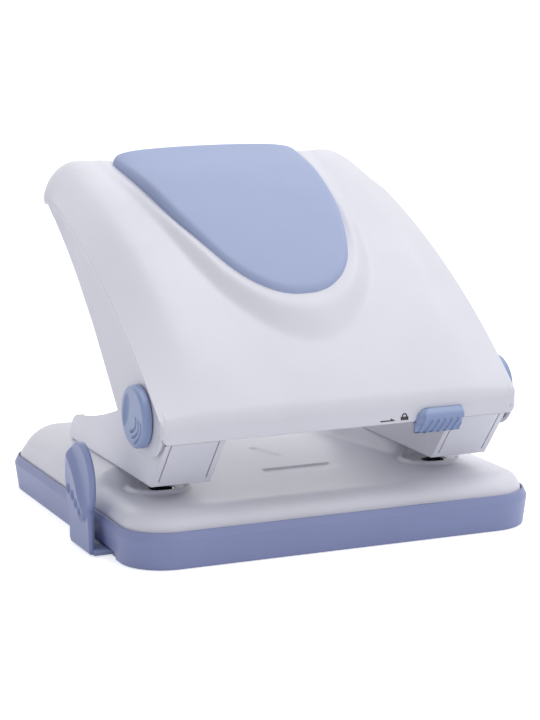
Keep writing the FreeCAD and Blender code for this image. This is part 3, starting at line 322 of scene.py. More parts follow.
def cover_low(x, y):
    """Height of the cover's lower edge: straight runs through the points of the sides and the skirt, and
    the level lip at the front, with its ends rounded up."""
    side = np.interp(y, side_edge[:, 0], side_edge[:, 1])
    low = np.where(y > skirt_start, np.interp(y, skirt_edge[:, 0], skirt_edge[:, 1]), side)
    lip = lip_low + round_over(np.clip(cover_half - 0.3 - np.abs(x), 0, None), lip_corner)
    return np.where(y < cover_front + 0.5, lip, low)


def weave(points, wrap=False, base=0):
    """Quads between the neighbouring points of a grid, rows by columns, with the last column joined
    to the first where it wraps."""
    rows, columns = points.shape[:2]
    index = base + np.arange(rows * columns).reshape(rows, columns)
    following = np.roll(index, -1, axis=1) if wrap else index[:, 1:]
    here = index if wrap else index[:, :-1]
    return np.stack([here[:-1], following[:-1], following[1:], here[1:]], -1).reshape(-1, 4)


def make(name, sheets, material, body, stands_for=(), origin=(0, 0, 0)):
    """One object from sheets of points in millimetres, (points, wraps, quads kept or nothing): their
    quads are joined where sheets meet, and every face is turned outwards."""
    stack, quads, base = [], [], 0
    for points, wrap, *kept in sheets:
        faces = weave(points, wrap, base)
        quads.append(faces[kept[0].ravel()] if kept else faces)
        stack.append(points.reshape(-1, 3))
        base += points.shape[0] * points.shape[1]
    places = (np.vstack(stack) + np.asarray(origin, float)) / 1000
    mesh = bpy.data.meshes.new(name)
    mesh.from_pydata(places.tolist(), [], np.vstack(quads).tolist())
    shaping = bmesh.new()
    shaping.from_mesh(mesh)
    bmesh.ops.remove_doubles(shaping, verts=shaping.verts, dist=2e-6)
    bmesh.ops.dissolve_degenerate(shaping, edges=shaping.edges, dist=1e-7)
    bmesh.ops.recalc_face_normals(shaping, faces=shaping.faces)
    shaping.to_mesh(mesh)
    shaping.free()
    mesh.polygons.foreach_set("use_smooth", np.ones(len(mesh.polygons), bool))
    mesh.materials.append(material)
    thing = bpy.data.objects.new(name, mesh)
    bpy.context.scene.collection.objects.link(thing)
    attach(thing, body)
    if stands_for:
        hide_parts(*stands_for)
    return thing


def sheet_of(half_widths, row_y, column, height):
    """A grid of points: each row spreads the column's shares over its own half width, at height(x, y)."""
    x = half_widths[:, None] * column[None, :]
    y = np.repeat(row_y[:, None], len(column), 1)
    return np.stack([x, y, height(x, y)], -1)


def border_of(grid):
    """The points round the border of a grid, once round from its first corner."""
    return np.concatenate([grid[:, 0], grid[-1, 1:], grid[-2::-1, -1], grid[0, -2:0:-1]])


def thicken(thing, wall_mm):
    """Gives an open shell a wall of that thickness, inwards from its faces, with a closed edge."""
    wall = thing.modifiers.new("wall", "SOLIDIFY")
    wall.thickness, wall.offset, wall.use_rim = wall_mm / 1000, -1.0, True


def surface(name, colour, roughness, gloss_span, mark_mm, detail, depth_mm, strength, cloud_mm, cloud_detail,
            tones, look, stretch=None, edge_mm=0.0):
    """A material with fine marks in its bump and a faint cloud in its colour. As the marks' noise runs
    from low to high, the roughness sways by gloss_span to each side; the cloud's noise does the same
    for the two tones of the colour. Marks may be stretched, and sharp edges rounded in the shading, as
    wear, a press tool or a mould leaves them."""
    noise_low, noise_high = 0.3, 0.7
    material, tree = bare(name)
    place = {"Vector": add(tree, "ShaderNodeTexCoord").outputs["Object"]}
    way, facing = place, {}
    if stretch:
        mapping = add(tree, "ShaderNodeMapping", links=place, values={"Scale": stretch})
        way = {"Vector": mapping.outputs["Vector"]}
    if edge_mm:
        edge = add(tree, "ShaderNodeBevel", {"samples": 6}, values={"Radius": edge_mm / 1000})
        facing = {"Normal": edge.outputs["Normal"]}
    marks = add(tree, "ShaderNodeTexNoise", links=way, values={"Scale": 1000.0 / mark_mm, "Detail": detail})
    cloud = add(tree, "ShaderNodeTexNoise", links=place,
                values={"Scale": 1000.0 / cloud_mm, "Detail": cloud_detail})
    bump = add(tree, "ShaderNodeBump", links={"Height": marks.outputs["Fac"], **facing},
               values={"Strength": strength, "Distance": depth_mm / 1000})
    gloss, shade = [add(tree, "ShaderNodeMapRange", links={"Value": noise.outputs["Fac"]},
                        values={"From Min": noise_low, "From Max": noise_high, "To Min": low, "To Max": high})
                    for noise, (low, high) in
                    ((marks, (roughness - gloss_span, roughness + gloss_span)), (cloud, tones))]
    tint = add(tree, "ShaderNodeVectorMath", {"operation": "SCALE"}, {"Scale": shade.outputs[0]},
               {0: linear(colour)[:3]})
    shader = add(tree, "ShaderNodeBsdfPrincipled", values=look,
                 links={"Base Color": tint.outputs[0], "Roughness": gloss.outputs[0],
                        "Normal": bump.outputs["Normal"]})
    add(tree, "ShaderNodeOutputMaterial", links={"Surface": shader.outputs[0]})
    return material


def moulded(name, colour, roughness, grain_mm, depth_mm, edge_mm=0.0):
    """A moulded plastic or rubber, or a sprayed enamel, with an even grain. Real grain is 0.1 to 0.2 mm
    wide, too fine to show; it is drawn at 0.3 to 0.6."""
    return surface(name, colour, roughness, 0.03, grain_mm, 2.0, depth_mm, strength=0.5, cloud_mm=18.0,
                   cloud_detail=2.0, tones=(0.98, 1.02), look={"IOR": 1.5}, edge_mm=edge_mm)


# Moulded ABS from a spark-eroded mould: white with a trace of blue, satin, with broad soft highlights.
white_abs = moulded("moulded_white_abs", "#E0E0E7", 0.42, 0.45, 0.008)

# The top is a grid, its rows close together where the cover bends, and each row as wide as the plan.
front_rows = cover_front + front_corner * (1 - np.cos(np.linspace(0, math.pi / 2, 14)[:-1]))
straight_rows = np.concatenate([cover_front + front_corner + np.array([0, 0.3, 0.6]),
                                np.arange(cover_front + front_corner + 1.0, cover_rear - rear_corner, 0.6)])
rear_rows = cover_rear - rear_corner + rear_corner * np.sin(np.linspace(0, math.pi / 2, 26))
row_y = np.concatenate([front_rows, straight_rows, rear_rows])
from_edge = np.concatenate([[0, 0.12, 0.28, 0.5, 0.8, 1.2, 1.7], np.linspace(2.3, cover_half, 88)])
side_share = 1 - from_edge / cover_half
column = np.concatenate([-side_share, side_share[-2::-1]])
top = sheet_of(cover_plan(row_y), row_y, column, cover_top)

# The walls hang from the top's rim, with a shallow step below it on the flat sides and a rolled lower edge.
rim = border_of(top)
along = (np.roll(rim, -1, 0) - np.roll(rim, 1, 0))[:, :2]
along /= np.maximum(np.linalg.norm(along, axis=1, keepdims=True), 1e-9)
inward = np.stack([along[:, 1], -along[:, 0]], -1)
inward *= np.sign(np.sum(inward * (np.array([0, 35.0]) - rim[:, :2]), 1, keepdims=True))
low = np.minimum(cover_low(rim[:, 0], rim[:, 1]), rim[:, 2] - 1.0)
on_side = (np.abs(rim[:, 0]) > cover_half - 0.4) & (rim[:, 1] > cover_front + 1.0)
step_in = side_step * on_side * (1 - ramp(rim[:, 1], 58, 70))
tall = rim[:, 2] - low
levels = np.linspace(0, 1, 16) ** 1.6
drop = levels[:, None] * np.maximum(tall - 0.7, 0.3)[None, :]
drop = np.vstack([drop, tall - 0.35, tall - 0.12, tall - 0.02, tall])
tuck = np.zeros_like(drop)
tuck[-4:] = np.array([0.04, 0.16, 0.38, 0.6])[:, None]
inset = step_in[None, :] * (1 - np.exp(-(drop / 0.8) ** 2)) + tuck
wall = np.empty(drop.shape + (3,))
wall[..., :2] = rim[None, :, :2] + inward[None] * inset[..., None]
wall[..., 2] = rim[None, :, 2] - drop
cover = make("handle_shell", [(top, False), (wall, True)], white_abs, "handle", ("handle_cover",),
             axle)
thicken(cover, cover_wall)


def ring_grid(profile, count):
    """Points of a surface turned about Z from its profile of (radius, height)."""
    profile = np.asarray(profile, float)
    angle = np.linspace(0, 2 * math.pi, count, endpoint=False)
    x = profile[:, :1] * np.cos(angle)[None, :]
    y = profile[:, :1] * np.sin(angle)[None, :]
    z = np.repeat(profile[:, 1:2], count, 1)
    return np.stack([x, y, z], -1)


# Four bosses that the screws bite into stand square on the lever's plate and reach up to the cover.
lever_slope, lever_start, lever_rise = math.radians(25.8), 7.0, 9.4
boss_radius, boss_bore, boss_columns, boss_rows = 3.4, 1.3, (-22.0, 22.0), (14.0, 54.0)
off_plate = np.array([0, -math.sin(lever_slope), math.cos(lever_slope)])
along_plate = np.array([0, math.cos(lever_slope), math.sin(lever_slope)])
square_to_plate = np.stack([[1, 0, 0], along_plate, off_plate])
boss_sheets = []
for boss_x in boss_columns:
    for boss_run in boss_rows:
        foot = np.array([boss_x, lever_start, lever_rise]) + along_plate * boss_run
        lengths = np.linspace(1, 40, 400)
        tips = foot + off_plate * lengths[:, None]
        length = lengths[tips[:, 2] < cover_top(tips[:, 0], tips[:, 1]) - 0.9].max()
        tube = ring_grid([(boss_bore, 1.0), (boss_bore, 0.05), (boss_radius - 0.1, 0.05), (boss_radius, 0.25),
                          (boss_radius, length), (0.01, length)], 32)
        boss_sheets.append((tube @ square_to_plate + foot, True))
make("screw_bosses", boss_sheets, white_abs, "handle", (), axle)

# ---- grip pad ----
# A soft pad of light blue rubber, moulded with a low crown and a rounded shoulder. It is pressed into
# the cover, inside the collar.

pad_rear, pad_lift, pad_height, pad_fall, pad_shoulder = 83.0, 0.25, 4.9, 0.7, 1.3
pad_middle = np.array([0.0, 56.0])
pad_front = pad_side[pad_side[:, 1] <= 80.0]
rear_bend = np.array([(28.6, 81.0), (28.2, 82.0), (27.2, 82.8), (25.8, 83.0)])
rear_edge = np.stack([np.linspace(24.5, 0, 30), np.full(30, pad_rear)], 1)
half_outline = np.vstack([pad_front, rear_bend, rear_edge])
half_outline[:, 1] = np.minimum(half_outline[:, 1], pad_rear)
whole = np.vstack([half_outline, half_outline[-2:0:-1] * np.array([-1, 1])])
closed = np.vstack([whole, whole[:1]])
length = np.concatenate([[0], np.cumsum(np.linalg.norm(np.diff(closed, axis=0), axis=1))])
even = np.linspace(0, length[-1], 320, endpoint=False)
pad_line = np.stack([np.interp(even, length, closed[:, k]) for k in (0, 1)], 1)


def pad_crown(x, y):
    """How far the pad's top stands over the cover's: a low dome that falls to the sides, a little lower
    behind and lowest at the rear corners."""
    low_corner = 1.5 * ramp(y, 55, pad_rear) * np.clip(np.abs(x) / 28.5, 0, 1) ** 10
    fall_sideways = pad_fall * np.abs(x / 24.0) ** 2.2
    return pad_height - 0.2 * ramp(y, 12, 40) - 0.4 * ramp(y, 60, pad_rear) - fall_sideways - low_corner


# Rings run in from the outline to the middle, close together over the shoulder, and spread from there.
inward_share = np.concatenate([[0], 0.0009 * 1.35 ** np.arange(13)])
inward_share = np.concatenate([inward_share, np.linspace(inward_share[-1] + 0.02, 1, 34)])
gap = pad_middle - pad_line
spoke = np.linalg.norm(gap, axis=1)
tangent = np.roll(pad_line, -1, 0) - np.roll(pad_line, 1, 0)
tangent /= np.linalg.norm(tangent, axis=1, keepdims=True)
squareness = np.abs(gap[:, 0] * tangent[:, 1] - gap[:, 1] * tangent[:, 0]) / spoke
ring = pad_line[None] + gap[None] * inward_share[:, None, None]
from_outline = inward_share[:, None] * spoke[None] * squareness[None]
ring_z = crown(ring[..., 1]) + pad_crown(ring[..., 0], ring[..., 1]) - round_over(from_outline, pad_shoulder)
pad_top = np.concatenate([ring, ring_z[..., None]], -1)
side_rows = np.linspace(0, 1, 6)[1:, None]
side_z = pad_top[0, :, 2] * (1 - side_rows) + (crown(pad_line[:, 1]) + pad_lift) * side_rows
pad_wall = np.concatenate([np.repeat(pad_line[None], 5, 0), side_z[..., None]], -1)
under = np.concatenate([ring[:-4:4], ring[-1:]])
pad_under = np.concatenate([under, crown(under[..., 1:]) + pad_lift], -1)
# Soft-touch elastomer: dull light blue, with a wide faint sheen and no clear highlight.
pad_rubber = moulded("soft_touch_rubber", "#A5B1D2", 0.62, 0.35, 0.012)
make("finger_pad", [(pad_top[::-1], True), (np.concatenate([pad_top[:1], pad_wall]), True),
                    (np.concatenate([pad_wall[-1:], pad_under]), True)],
     pad_rubber, "handle", ("grip_pad",), axle)

# ---- base plate ----
# Steel sheet pressed into a low table with rolled edges, two raised seats for the brackets, a bead
# round each die and shallow swages that stiffen its floor. It is enamelled white-silver.

plate_x, plate_y, plate_corner, plate_floor, plate_roll = 56.9, 54.4, 11.4, 14.3, 8.5
seat_floor, seat_roll, seat_side, seat_start, seat_step = 18.6, 12.0, 26.8, -14.6, 3.2
tighter_sideways, seat_taper = 3.2, 0.17
sheet_thick, hem_level = 1.2, 5.05
hole_x, hole_y, die_mouth, die_gap = 40.0, -26.6, 3.6, 9.0
bead_radius, bead_height, bead_width, bead_behind, mouth_rise = 7.7, 0.8, 0.5, 1.9, 0.2
groove_radius, groove_depth, groove_width = 9.2, 0.25, 0.7
wedge_depth, leaf_depth = 0.55, 0.5
leaf_x, leaf_y, leaf_run_x, leaf_run_y, leaf_run_squared = 0.1, 6.8, 2.7, -10.8, 123.9


def inside_rectangle(x, y, half_x, half_y, radius):
    """Distance inwards from the outline of a rectangle with round corners."""
    out_x, out_y = np.abs(x) - (half_x - radius), np.abs(y) - (half_y - radius)
    beyond = np.hypot(np.clip(out_x, 0, None), np.clip(out_y, 0, None))
    return radius - beyond - np.clip(np.maximum(out_x, out_y), None, 0)


def plate_height(x, y):
    """Height of the plate: its floor and its seats, rolled over at the outline and joined by a rounded
    step, plus a bead, a groove and a raised mouth at each die, less a wedge and a leaf pressed down."""
    edge = np.clip(inside_rectangle(x, y, plate_x, plate_y, plate_corner), 0, None)
    out_x = np.clip(np.abs(x) - (plate_x - plate_corner), 0, None)
    out_y = np.clip(np.abs(y) - (plate_y - plate_corner), 0, None)
    sideways = out_x ** 2 / np.maximum(out_x ** 2 + out_y ** 2, 1e-9)
    floor = plate_floor - round_over(edge, plate_roll - tighter_sideways * sideways)
    seat = seat_floor - round_over(edge, seat_roll)
    narrowed = seat_side + seat_taper * np.clip(15 - y, 0, None)
    step = ramp(np.abs(x), narrowed, narrowed + seat_step) * ramp(y, seat_start - 5.0, seat_start + 2.0)
    height = floor + np.clip(seat - floor, 0, None) * step
    for side in (-1, 1):
        from_bead = np.hypot(x - side * hole_x, y - hole_y - bead_behind)
        height = height + bead_height * np.exp(-((from_bead - bead_radius) / bead_width) ** 2)
        height = height - groove_depth * np.exp(-((from_bead - groove_radius) / groove_width) ** 2)
        height = height + mouth_rise * (1 - ramp(np.hypot(x - side * hole_x, y - hole_y), 5.3, 6.3))
    wedge = ramp(x, -7.9, -7.3) * (1 - ramp(x, 11.8, 12.4)) * (1 - ramp(y, -18.4, -17.4)) * ramp(y, -27, -18)
    past_leaf = np.clip(((x - leaf_x) * leaf_run_x + (y - leaf_y) * leaf_run_y) / leaf_run_squared, 0, 1)
    from_leaf = np.hypot(x - leaf_x - leaf_run_x * past_leaf, y - leaf_y - leaf_run_y * past_leaf)
    return height - wedge_depth * wedge - leaf_depth * (1 - ramp(from_leaf, 0.2, 1.5))


def spaced(stops, steps):
    """Numbers that run through the stops with a given step on each stretch."""
    runs = [np.linspace(a, b, max(2, int(round((b - a) / step)) + 1))[:-1]
            for a, b, step in zip(stops, stops[1:], steps)]
    return np.concatenate(runs + [[stops[-1]]])


# The plate is a grid, close together on the rolls and the seats' steps, and each row as wide as the plan.
roll_steps = seat_roll * (1 - np.cos(np.linspace(0, math.pi / 2, 20)))
roll_x = (plate_x - roll_steps)[::-1]
right_columns = np.concatenate([spaced([0, 12.8, 25.0, 27.2, 31, 49], [0.8, 1.0, 0.2, 0.76, 0.72]),
                                roll_x[roll_x > 49.3]])
plate_columns = np.concatenate([-right_columns[:0:-1], right_columns]) / plate_x
front_roll = -plate_y + roll_steps
middle_rows = spaced([-42.4, -35.6, -30, -17.6, -14.8, -12.8, 8, 42.4], [0.85, 0.7, 0.4, 0.2, 0.2, 0.8, 1.2])
plate_rows = np.concatenate([front_roll[:-1], middle_rows, -front_roll[::-1][1:]])
past = np.clip(np.abs(plate_rows) - (plate_y - plate_corner), 0, plate_corner)
plate_half = plate_x - plate_corner + np.sqrt(plate_corner ** 2 - past ** 2)
plate_top = sheet_of(plate_half, plate_rows, plate_columns, plate_height)
border = border_of(plate_top)
hem = np.stack([border, border * [1, 1, 0] + [0, 0, hem_level]])
cells = (plate_top[:-1, :-1] + plate_top[1:, 1:]) / 2
over_die = (np.abs(np.abs(cells[..., 0]) - hole_x) < die_gap) & (np.abs(cells[..., 1] - hole_y) < die_gap)
plate_sheets = [(plate_top, False, ~over_die), (hem, True)]
# Round each die hole the grid gives way to rings that run from the square gap to the hole.
full_row = plate_top[30, :, 0]
for side in (-1, 1):
    lines_x = np.unique(np.round(full_row[np.abs(full_row - side * hole_x) < die_gap + 0.01], 9))
    lines_y = plate_rows[np.abs(plate_rows - hole_y) < die_gap + 0.01]
    square = border_of(np.stack(np.meshgrid(lines_x, lines_y, indexing="ij"), -1))
    from_hole = square - [side * hole_x, hole_y]
    far_out = np.linalg.norm(from_hole, axis=1, keepdims=True)
    on_hole = from_hole / far_out * die_mouth
    shares = np.concatenate([np.linspace(0, 0.5, 6)[:-1], np.linspace(0.5, 1.0, 22)])[:, None, None]
    disc = from_hole[None] * (1 - shares) + on_hole[None] * shares + [side * hole_x, hole_y]
    disc_z = plate_height(disc[..., 0], disc[..., 1])[..., None]
    plate_sheets.append((np.concatenate([disc, disc_z], -1), True))
# Sprayed and baked enamel flows a little before it sets: white-silver, satin, with a soft even gloss.
enamel = moulded("white_silver_enamel_on_steel", "#E4E4EB", 0.42, 0.6, 0.006)
plate = make("pressed_base", plate_sheets, enamel, "base", ("base_plate",))
thicken(plate, sheet_thick)

# ---- brackets ----
# Two channels folded from steel sheet, riveted to the seats of the base plate and enamelled with it.
# They carry the axle and guide the punches.


def dress(nodes, material):
    """Gives the solids of these nodes a material."""
    for node in nodes:
        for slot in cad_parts[node].material_slots:
            slot.material = material


# The same enamel, a little glossier on the flat walls, over folds that the press leaves slightly round.
dress(["left_bracket", "right_bracket"],
      moulded("white_silver_enamel_on_folded_steel", "#E3E3EB", 0.36, 0.6, 0.006, 0.35))

# ---- rivets, clips, washers, screws and latch ----
# Small fastenings and stampings of bright zinc-plated steel: the rivets are headed over under the
# plate, the clips snap on the axle's ends, and the latch slides behind the lip of the cover.


def metal(name, colour, roughness, brush_mm, depth_mm, edge_mm, stretch=(1.0, 1.0, 1.0)):
    """A bare or plated metal with rolling or turning marks and soft edges. The marks run along the axis
    whose stretch is smallest. Real marks are 0.05 to 0.1 mm wide, too fine to show; they are drawn at
    0.3 to 0.6."""
    return surface(name, colour, roughness, 0.06, brush_mm, 3.0, depth_mm, strength=0.4, cloud_mm=4.0,
                   cloud_detail=1.0, tones=(0.94, 1.05), look={"Metallic": 1.0}, stretch=stretch,
                   edge_mm=edge_mm)


# Bright zinc: light grey with a faint blue, soft reflections and rounded glints on the stamped edges.
dress(["bracket_rivets", "axle_clips", "cover_screws", "lock_latch", "left_pin_washer", "right_pin_washer"],
      metal("bright_zinc_plate_on_steel", "#C6C8CC", 0.34, 0.5, 0.006, 0.2))

# ---- lever frame ----
# The hand lever proper: 1.5 mm steel sheet with four ears on the axle, rolled marks running its length,
# zinc-plated like the fastenings. The cover is screwed on top of it.

# The plating follows the rolled sheet: duller than the fastenings, with streaks along the lever.
dress(["lever_frame", "lock_keeper"],
      metal("zinc_plated_rolled_steel_sheet", "#BFC1C6", 0.4, 0.6, 0.008, 0.25, (1.0, 0.12, 0.12)))

# ---- axle and bushes ----
# A drawn steel rod right across the punch, held in the brackets by a clip at each end. The lever turns
# on it, in brass bushes pressed into its ears.

# Drawn steel: bare and fairly bright, with fine streaks along the rod.
dress(["pivot_axle"], metal("drawn_steel_rod", "#B9BBBF", 0.28, 0.4, 0.004, 0.2, (0.1, 1.0, 1.0)))
# Turned brass: warm yellow, with a small soft highlight on each shoulder.
dress(["pivot_bushes"], metal("turned_brass", "#C9A65A", 0.3, 0.35, 0.005, 0.2, (0.3, 1.0, 1.0)))

# ---- punches ----
# Hardened pins, ground bright, slide in brass guides over hardened dies. Square-wire springs under
# their washers lift them, and hardened cam noses on the lever press them down.

# Ground steel: the smoothest metal here, with a narrow highlight along each pin.
dress(["left_punch_pin", "right_punch_pin", "left_die", "right_die"],
      metal("ground_hardened_steel", "#A9ABB2", 0.22, 0.3, 0.003, 0.15, (1.0, 1.0, 0.15)))
# Blackened by the heat treatment: dark grey with a dull oily gleam.
dress(["left_presser", "right_presser"], metal("black_hardened_steel", "#6E7077", 0.36, 0.5, 0.006, 0.25))
# Spring steel left oiled from the winding: mid grey, with one glint along each turn.
spring_steel = metal("oiled_spring_steel", "#84868C", 0.32, 0.35, 0.004, 0.15)
spring_wire, spring_turns, punch_stroke = 0.9, 5, 7.0
# The wire's square section with its corners broken, in halves of its width: outwards, then upwards.
section_out = spring_wire / 2 * np.array([[-0.8, 0.8, 1, 1, 0.8, -0.8, -1, -1]])
section_up = spring_wire / 2 * np.array([[-1, -1, -0.8, 0.8, 1, 1, 0.8, -0.8]])
for node, stroke in (("left_pin_spring", "left_punch_stroke"), ("right_pin_spring", "right_punch_stroke")):
    lowest, highest = [np.array(corner) * 1000 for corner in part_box(node)]
    spring_height = highest[2] - lowest[2]
    # The section follows a screw line: it turns evenly while it rises evenly.
    winding = np.linspace(0, 2 * math.pi * spring_turns, 48 * spring_turns + 1)[:, None]
    outward = (highest[0] - lowest[0]) / 2 - spring_wire / 2 + section_out
    climb = spring_wire / 2 + (spring_height - spring_wire) * winding / winding[-1]
    wire = np.stack([outward * np.cos(winding), outward * np.sin(winding), climb + section_up], -1)
    ends = [np.stack([wire[k], np.repeat(wire[k].mean(0)[None], 8, 0)]) for k in (0, -1)]
    foot = ((lowest[0] + highest[0]) / 2, (lowest[1] + highest[1]) / 2, lowest[2])
    wound = make(node + "_wound", [(wire, True), (ends[0], True), (ends[1], True)], spring_steel, "base",
                 (node,), foot)
    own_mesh(wound)
# Brass again: warm yellow, a little duller than the bushes, with faint upright streaks.
dress(["left_pin_guide", "right_pin_guide"],
      metal("turned_brass_guide", "#C6A258", 0.32, 0.35, 0.005, 0.2, (1.0, 1.0, 0.3)))

# ---- chip tray and feet ----
# An open-topped tray moulded in blue ABS. It holds the base plate in its rim, catches the chips, and
# stands on soft rubber feet pressed into its floor.

# Blue ABS from a grained mould: an even satin, with a soft light line along its rounded edges.
dress(["chip_tray"], moulded("moulded_blue_abs", "#8C95BE", 0.44, 0.5, 0.008, 0.6))
# Grey rubber: dull and slightly rough, with hardly any highlight.
dress(["rubber_feet"], moulded("soft_grey_rubber", "#6B6D74", 0.78, 0.3, 0.02, 0.25))

# ---- axle caps ----
# Pressed-in caps of light blue ABS over the axle's ends. Each face has a long thumb hollow and three
# hooked grooves, nested one inside the other, with a rounded shoulder round it all.

cap_radius, cap_height, cap_back, cap_shoulder, cap_stretch = 8.1, 2.6, 0.9, 0.9, 1.07
hollow_depth, hook_depth, hook_half = 0.9, 0.5, 0.30
hooks = [smooth_line(points, 60) for points in (
    [(-2.6, 0.2), (-2.7, -1.4), (-1.6, -2.9), (-0.2, -3.7), (1.2, -4.0)],
    [(-4.3, -0.2), (-4.5, -1.9), (-3.2, -3.8), (-1.7, -4.8), (-0.1, -5.3)],
    [(-6.0, -0.6), (-6.1, -2.1), (-5.0, -4.0), (-3.4, -5.5), (-1.7, -6.5)])]


def cap_face(y, z):
    """How far the cap's face stands out: its height, less the shoulder, the oval hollow and the hooks,
    each a trench with sides after a fourth power."""
    out = cap_height - 0.12 - round_over(np.clip(cap_radius - np.hypot(y, z), 0, None), cap_shoulder)
    along, across = (z - 1.2) / 4.6, (y - 3.9 + 0.30 * (z - 1.2)) / 2.1
    out = out - hollow_depth * np.clip(1 - along ** 2 - across ** 2, 0, 1) ** 0.8
    for hook in hooks:
        from_hook = np.hypot(y[..., None] - hook[:, 0], z[..., None] - hook[:, 1]).min(-1)
        out = out - hook_depth * np.exp(-(from_hook / hook_half) ** 4)
    return out


# The face is a disc of rings, close together at the rim. The cup behind it is turned from (radius, depth).
from_rim = np.concatenate([[0, 0.02, 0.06, 0.13, 0.24, 0.38, 0.56, 0.78, 1.0],
                           np.linspace(1.2, cap_radius, 60)])
face = ring_grid(np.stack([cap_radius - from_rim, 0 * from_rim], 1), 220)
face[..., 2] = cap_face(face[..., 0], face[..., 1])
cup = ring_grid([(0.0, 1.5), (6.4, 1.5), (6.4, 0.0), (7.85, 0.0), (8.05, 0.1), (8.1, 0.35), (8.1, 1.0)], 220)
cap = np.concatenate([face[::-1], cup[::-1]])
# Light blue ABS, a trace smoother than the white: a slightly clearer highlight along the shoulders.
trim_abs = moulded("moulded_light_blue_abs", "#8FA0C6", 0.40, 0.45, 0.007)
for side, label, node in ((-1, "left_cap", "left_pivot_cap"), (1, "right_cap", "right_pivot_cap")):
    placed = [side * (cover_half + cap[..., 2]), cap_back + cap_stretch * cap[..., 0], cap[..., 1]]
    make(label, [(np.stack(placed, -1), True)], trim_abs, "handle", (node,), axle)

# ---- lock button ----
# The thumb slide of the lever lock, light blue ABS: a smooth rounded back and a slanting front with six
# finger grooves. It is clipped on the latch through the slot in the lip.

button_low, button_top, button_left, button_right = -8.4, -1.6, 21.55, 33.45
button_corner, button_edge, button_rows, button_columns = 2.2, 0.75, 84, 170
groove_first, groove_pitch, groove_half, groove_sunk, groove_count = 22.85, 1.88, 0.72, 0.62, 6
rear_x, lip_face, under_lip = 33.7, -13.9, -5.35


def button_front(x, z):
    """How far forward the button reaches at (x, z): out from the bottom to the nose, back to the top,
    with six grooves in the lower part, each with steep sides after a sixth power and a round top."""
    profile_z = np.array([-8.4, -5.1, -4.5, -3.9, -3.3, -2.75, -2.3, -1.95, -1.7, -1.6])
    profile_y = np.array([13.15, 15.95, 16.34, 16.46, 16.3, 15.9, 15.4, 14.85, 14.3, 13.97])
    forward = np.interp(z, profile_z, profile_y)
    groove = np.zeros_like(forward)
    for k in range(groove_count):
        across = (x - groove_first - groove_pitch * k - 0.2 * (z - button_low)) / groove_half
        profile = np.clip(1 - across ** 6, 0, 1)
        top = np.clip((-4.15 - z - 0.5 * across ** 2) / 0.4, 0, 1)
        groove = np.maximum(groove, profile * top)
    return forward - groove_sunk * groove


# The front is a grid from left to right and from bottom to top, cut in round its upper left corner.
row = np.linspace(0, 1, button_rows)[:, None]
column = np.linspace(0, 1, button_columns)[None, :]
z_grid = button_low + (button_top - button_low) * row + 0 * column
near_top = np.clip(z_grid - (button_top - button_corner), 0, button_corner)
corner_cut = button_corner - np.sqrt(button_corner ** 2 - near_top ** 2)
low_cut = 0.4 * np.clip((button_low + 0.5 - z_grid) / 0.5, 0, 1) ** 2
left_edge = button_left + 0.12 * (z_grid - button_low) / 4 + corner_cut + low_cut
right_edge = button_right - 0.3 * (corner_cut / button_corner) - low_cut
x_grid = left_edge + (right_edge - left_edge) * column
from_side = np.minimum(x_grid - left_edge, right_edge - x_grid)
y_grid = -(button_front(x_grid, z_grid) - round_over(from_side, button_edge))
front_sheet = np.stack([x_grid, y_grid, z_grid], -1)
# The skirt runs back from the front's outline to the lip and under it, wider on the left, and is closed.
outline = border_of(front_sheet.swapaxes(0, 1))
left_line = np.interp(outline[:, 2], z_grid[:, 0], left_edge[:, 0])
right_line = np.interp(outline[:, 2], z_grid[:, 0], right_edge[:, 0])
rear_left = np.interp(outline[:, 2], [-8.4, -5.4, -3.2, -1.6], [20.5, 20.2, 20.8, 22.6])
widened = rear_left + (outline[:, 0] - left_line) / (right_line - left_line) * (rear_x - rear_left)
below_lip = -12.2 - 0.7 * np.clip((-5.4 - outline[:, 2]) / 3.0, 0, 1)
rear_y = np.maximum(np.where(outline[:, 2] > under_lip, lip_face, below_lip), outline[:, 1] + 0.05)
share = np.linspace(0, 1, 8)[:, None]
spread = np.sin(share * math.pi / 2)
skirt = np.stack([outline[None, :, 0] * (1 - spread) + widened[None] * spread,
                  outline[None, :, 1] * (1 - share) + rear_y[None] * share,
                  np.repeat(outline[None, :, 2], len(share), 0)], -1)
middle = np.array([27.0, -12.9, -5.0])
closing = np.concatenate([skirt[-1:], skirt[-1:] * 0.5 + middle * 0.5, skirt[-1:] * 0.0 + middle])
closing[1, :, 1] = rear_y
make("lock_slide_button", [(front_sheet, False), (skirt, True), (closing, True)], trim_abs, "lock",
     ("lock_button",), axle)

# ---- lock marks ----
# An arrow and a small closed padlock, pad-printed in dark grey ink on the lip of the cover: they tell
# which way the button locks the lever.

mark_z, line_half, print_thick, speck_mm, padlock_x = -4.13, 0.17, 0.03, 0.3, 17.1

# Pad-printing ink: nearly black and half matt, with paler specks where it is thin, drawn coarse to show.
ink, tree = bare("dark_grey_pad_printing_ink")
place = add(tree, "ShaderNodeTexCoord")
stipple = add(tree, "ShaderNodeTexNoise", values={"Scale": 1000.0 / speck_mm, "Detail": 2.0},
              links={"Vector": place.outputs["Object"]})
wear = add(tree, "ShaderNodeMapRange", links={"Value": stipple.outputs["Fac"]},
           values={"From Min": 0.3, "From Max": 0.7, "To Min": 0.035, "To Max": 0.055})
dark = add(tree, "ShaderNodeCombineColor", links={name: wear.outputs[0] for name in ("Red", "Green", "Blue")})
shader = add(tree, "ShaderNodeBsdfPrincipled", values={"Roughness": 0.5, "IOR": 1.5},
             links={"Base Color": dark.outputs["Color"]})
add(tree, "ShaderNodeOutputMaterial", links={"Surface": shader.outputs[0]})


def on_lip(lines):
    """Rows of points from pairs of a line of (x, z) and how far it stands out from the lip."""
    return np.stack([np.stack([line[:, 0], np.full(len(line), cover_front - out), line[:, 1]], -1)
                     for line, out in lines])


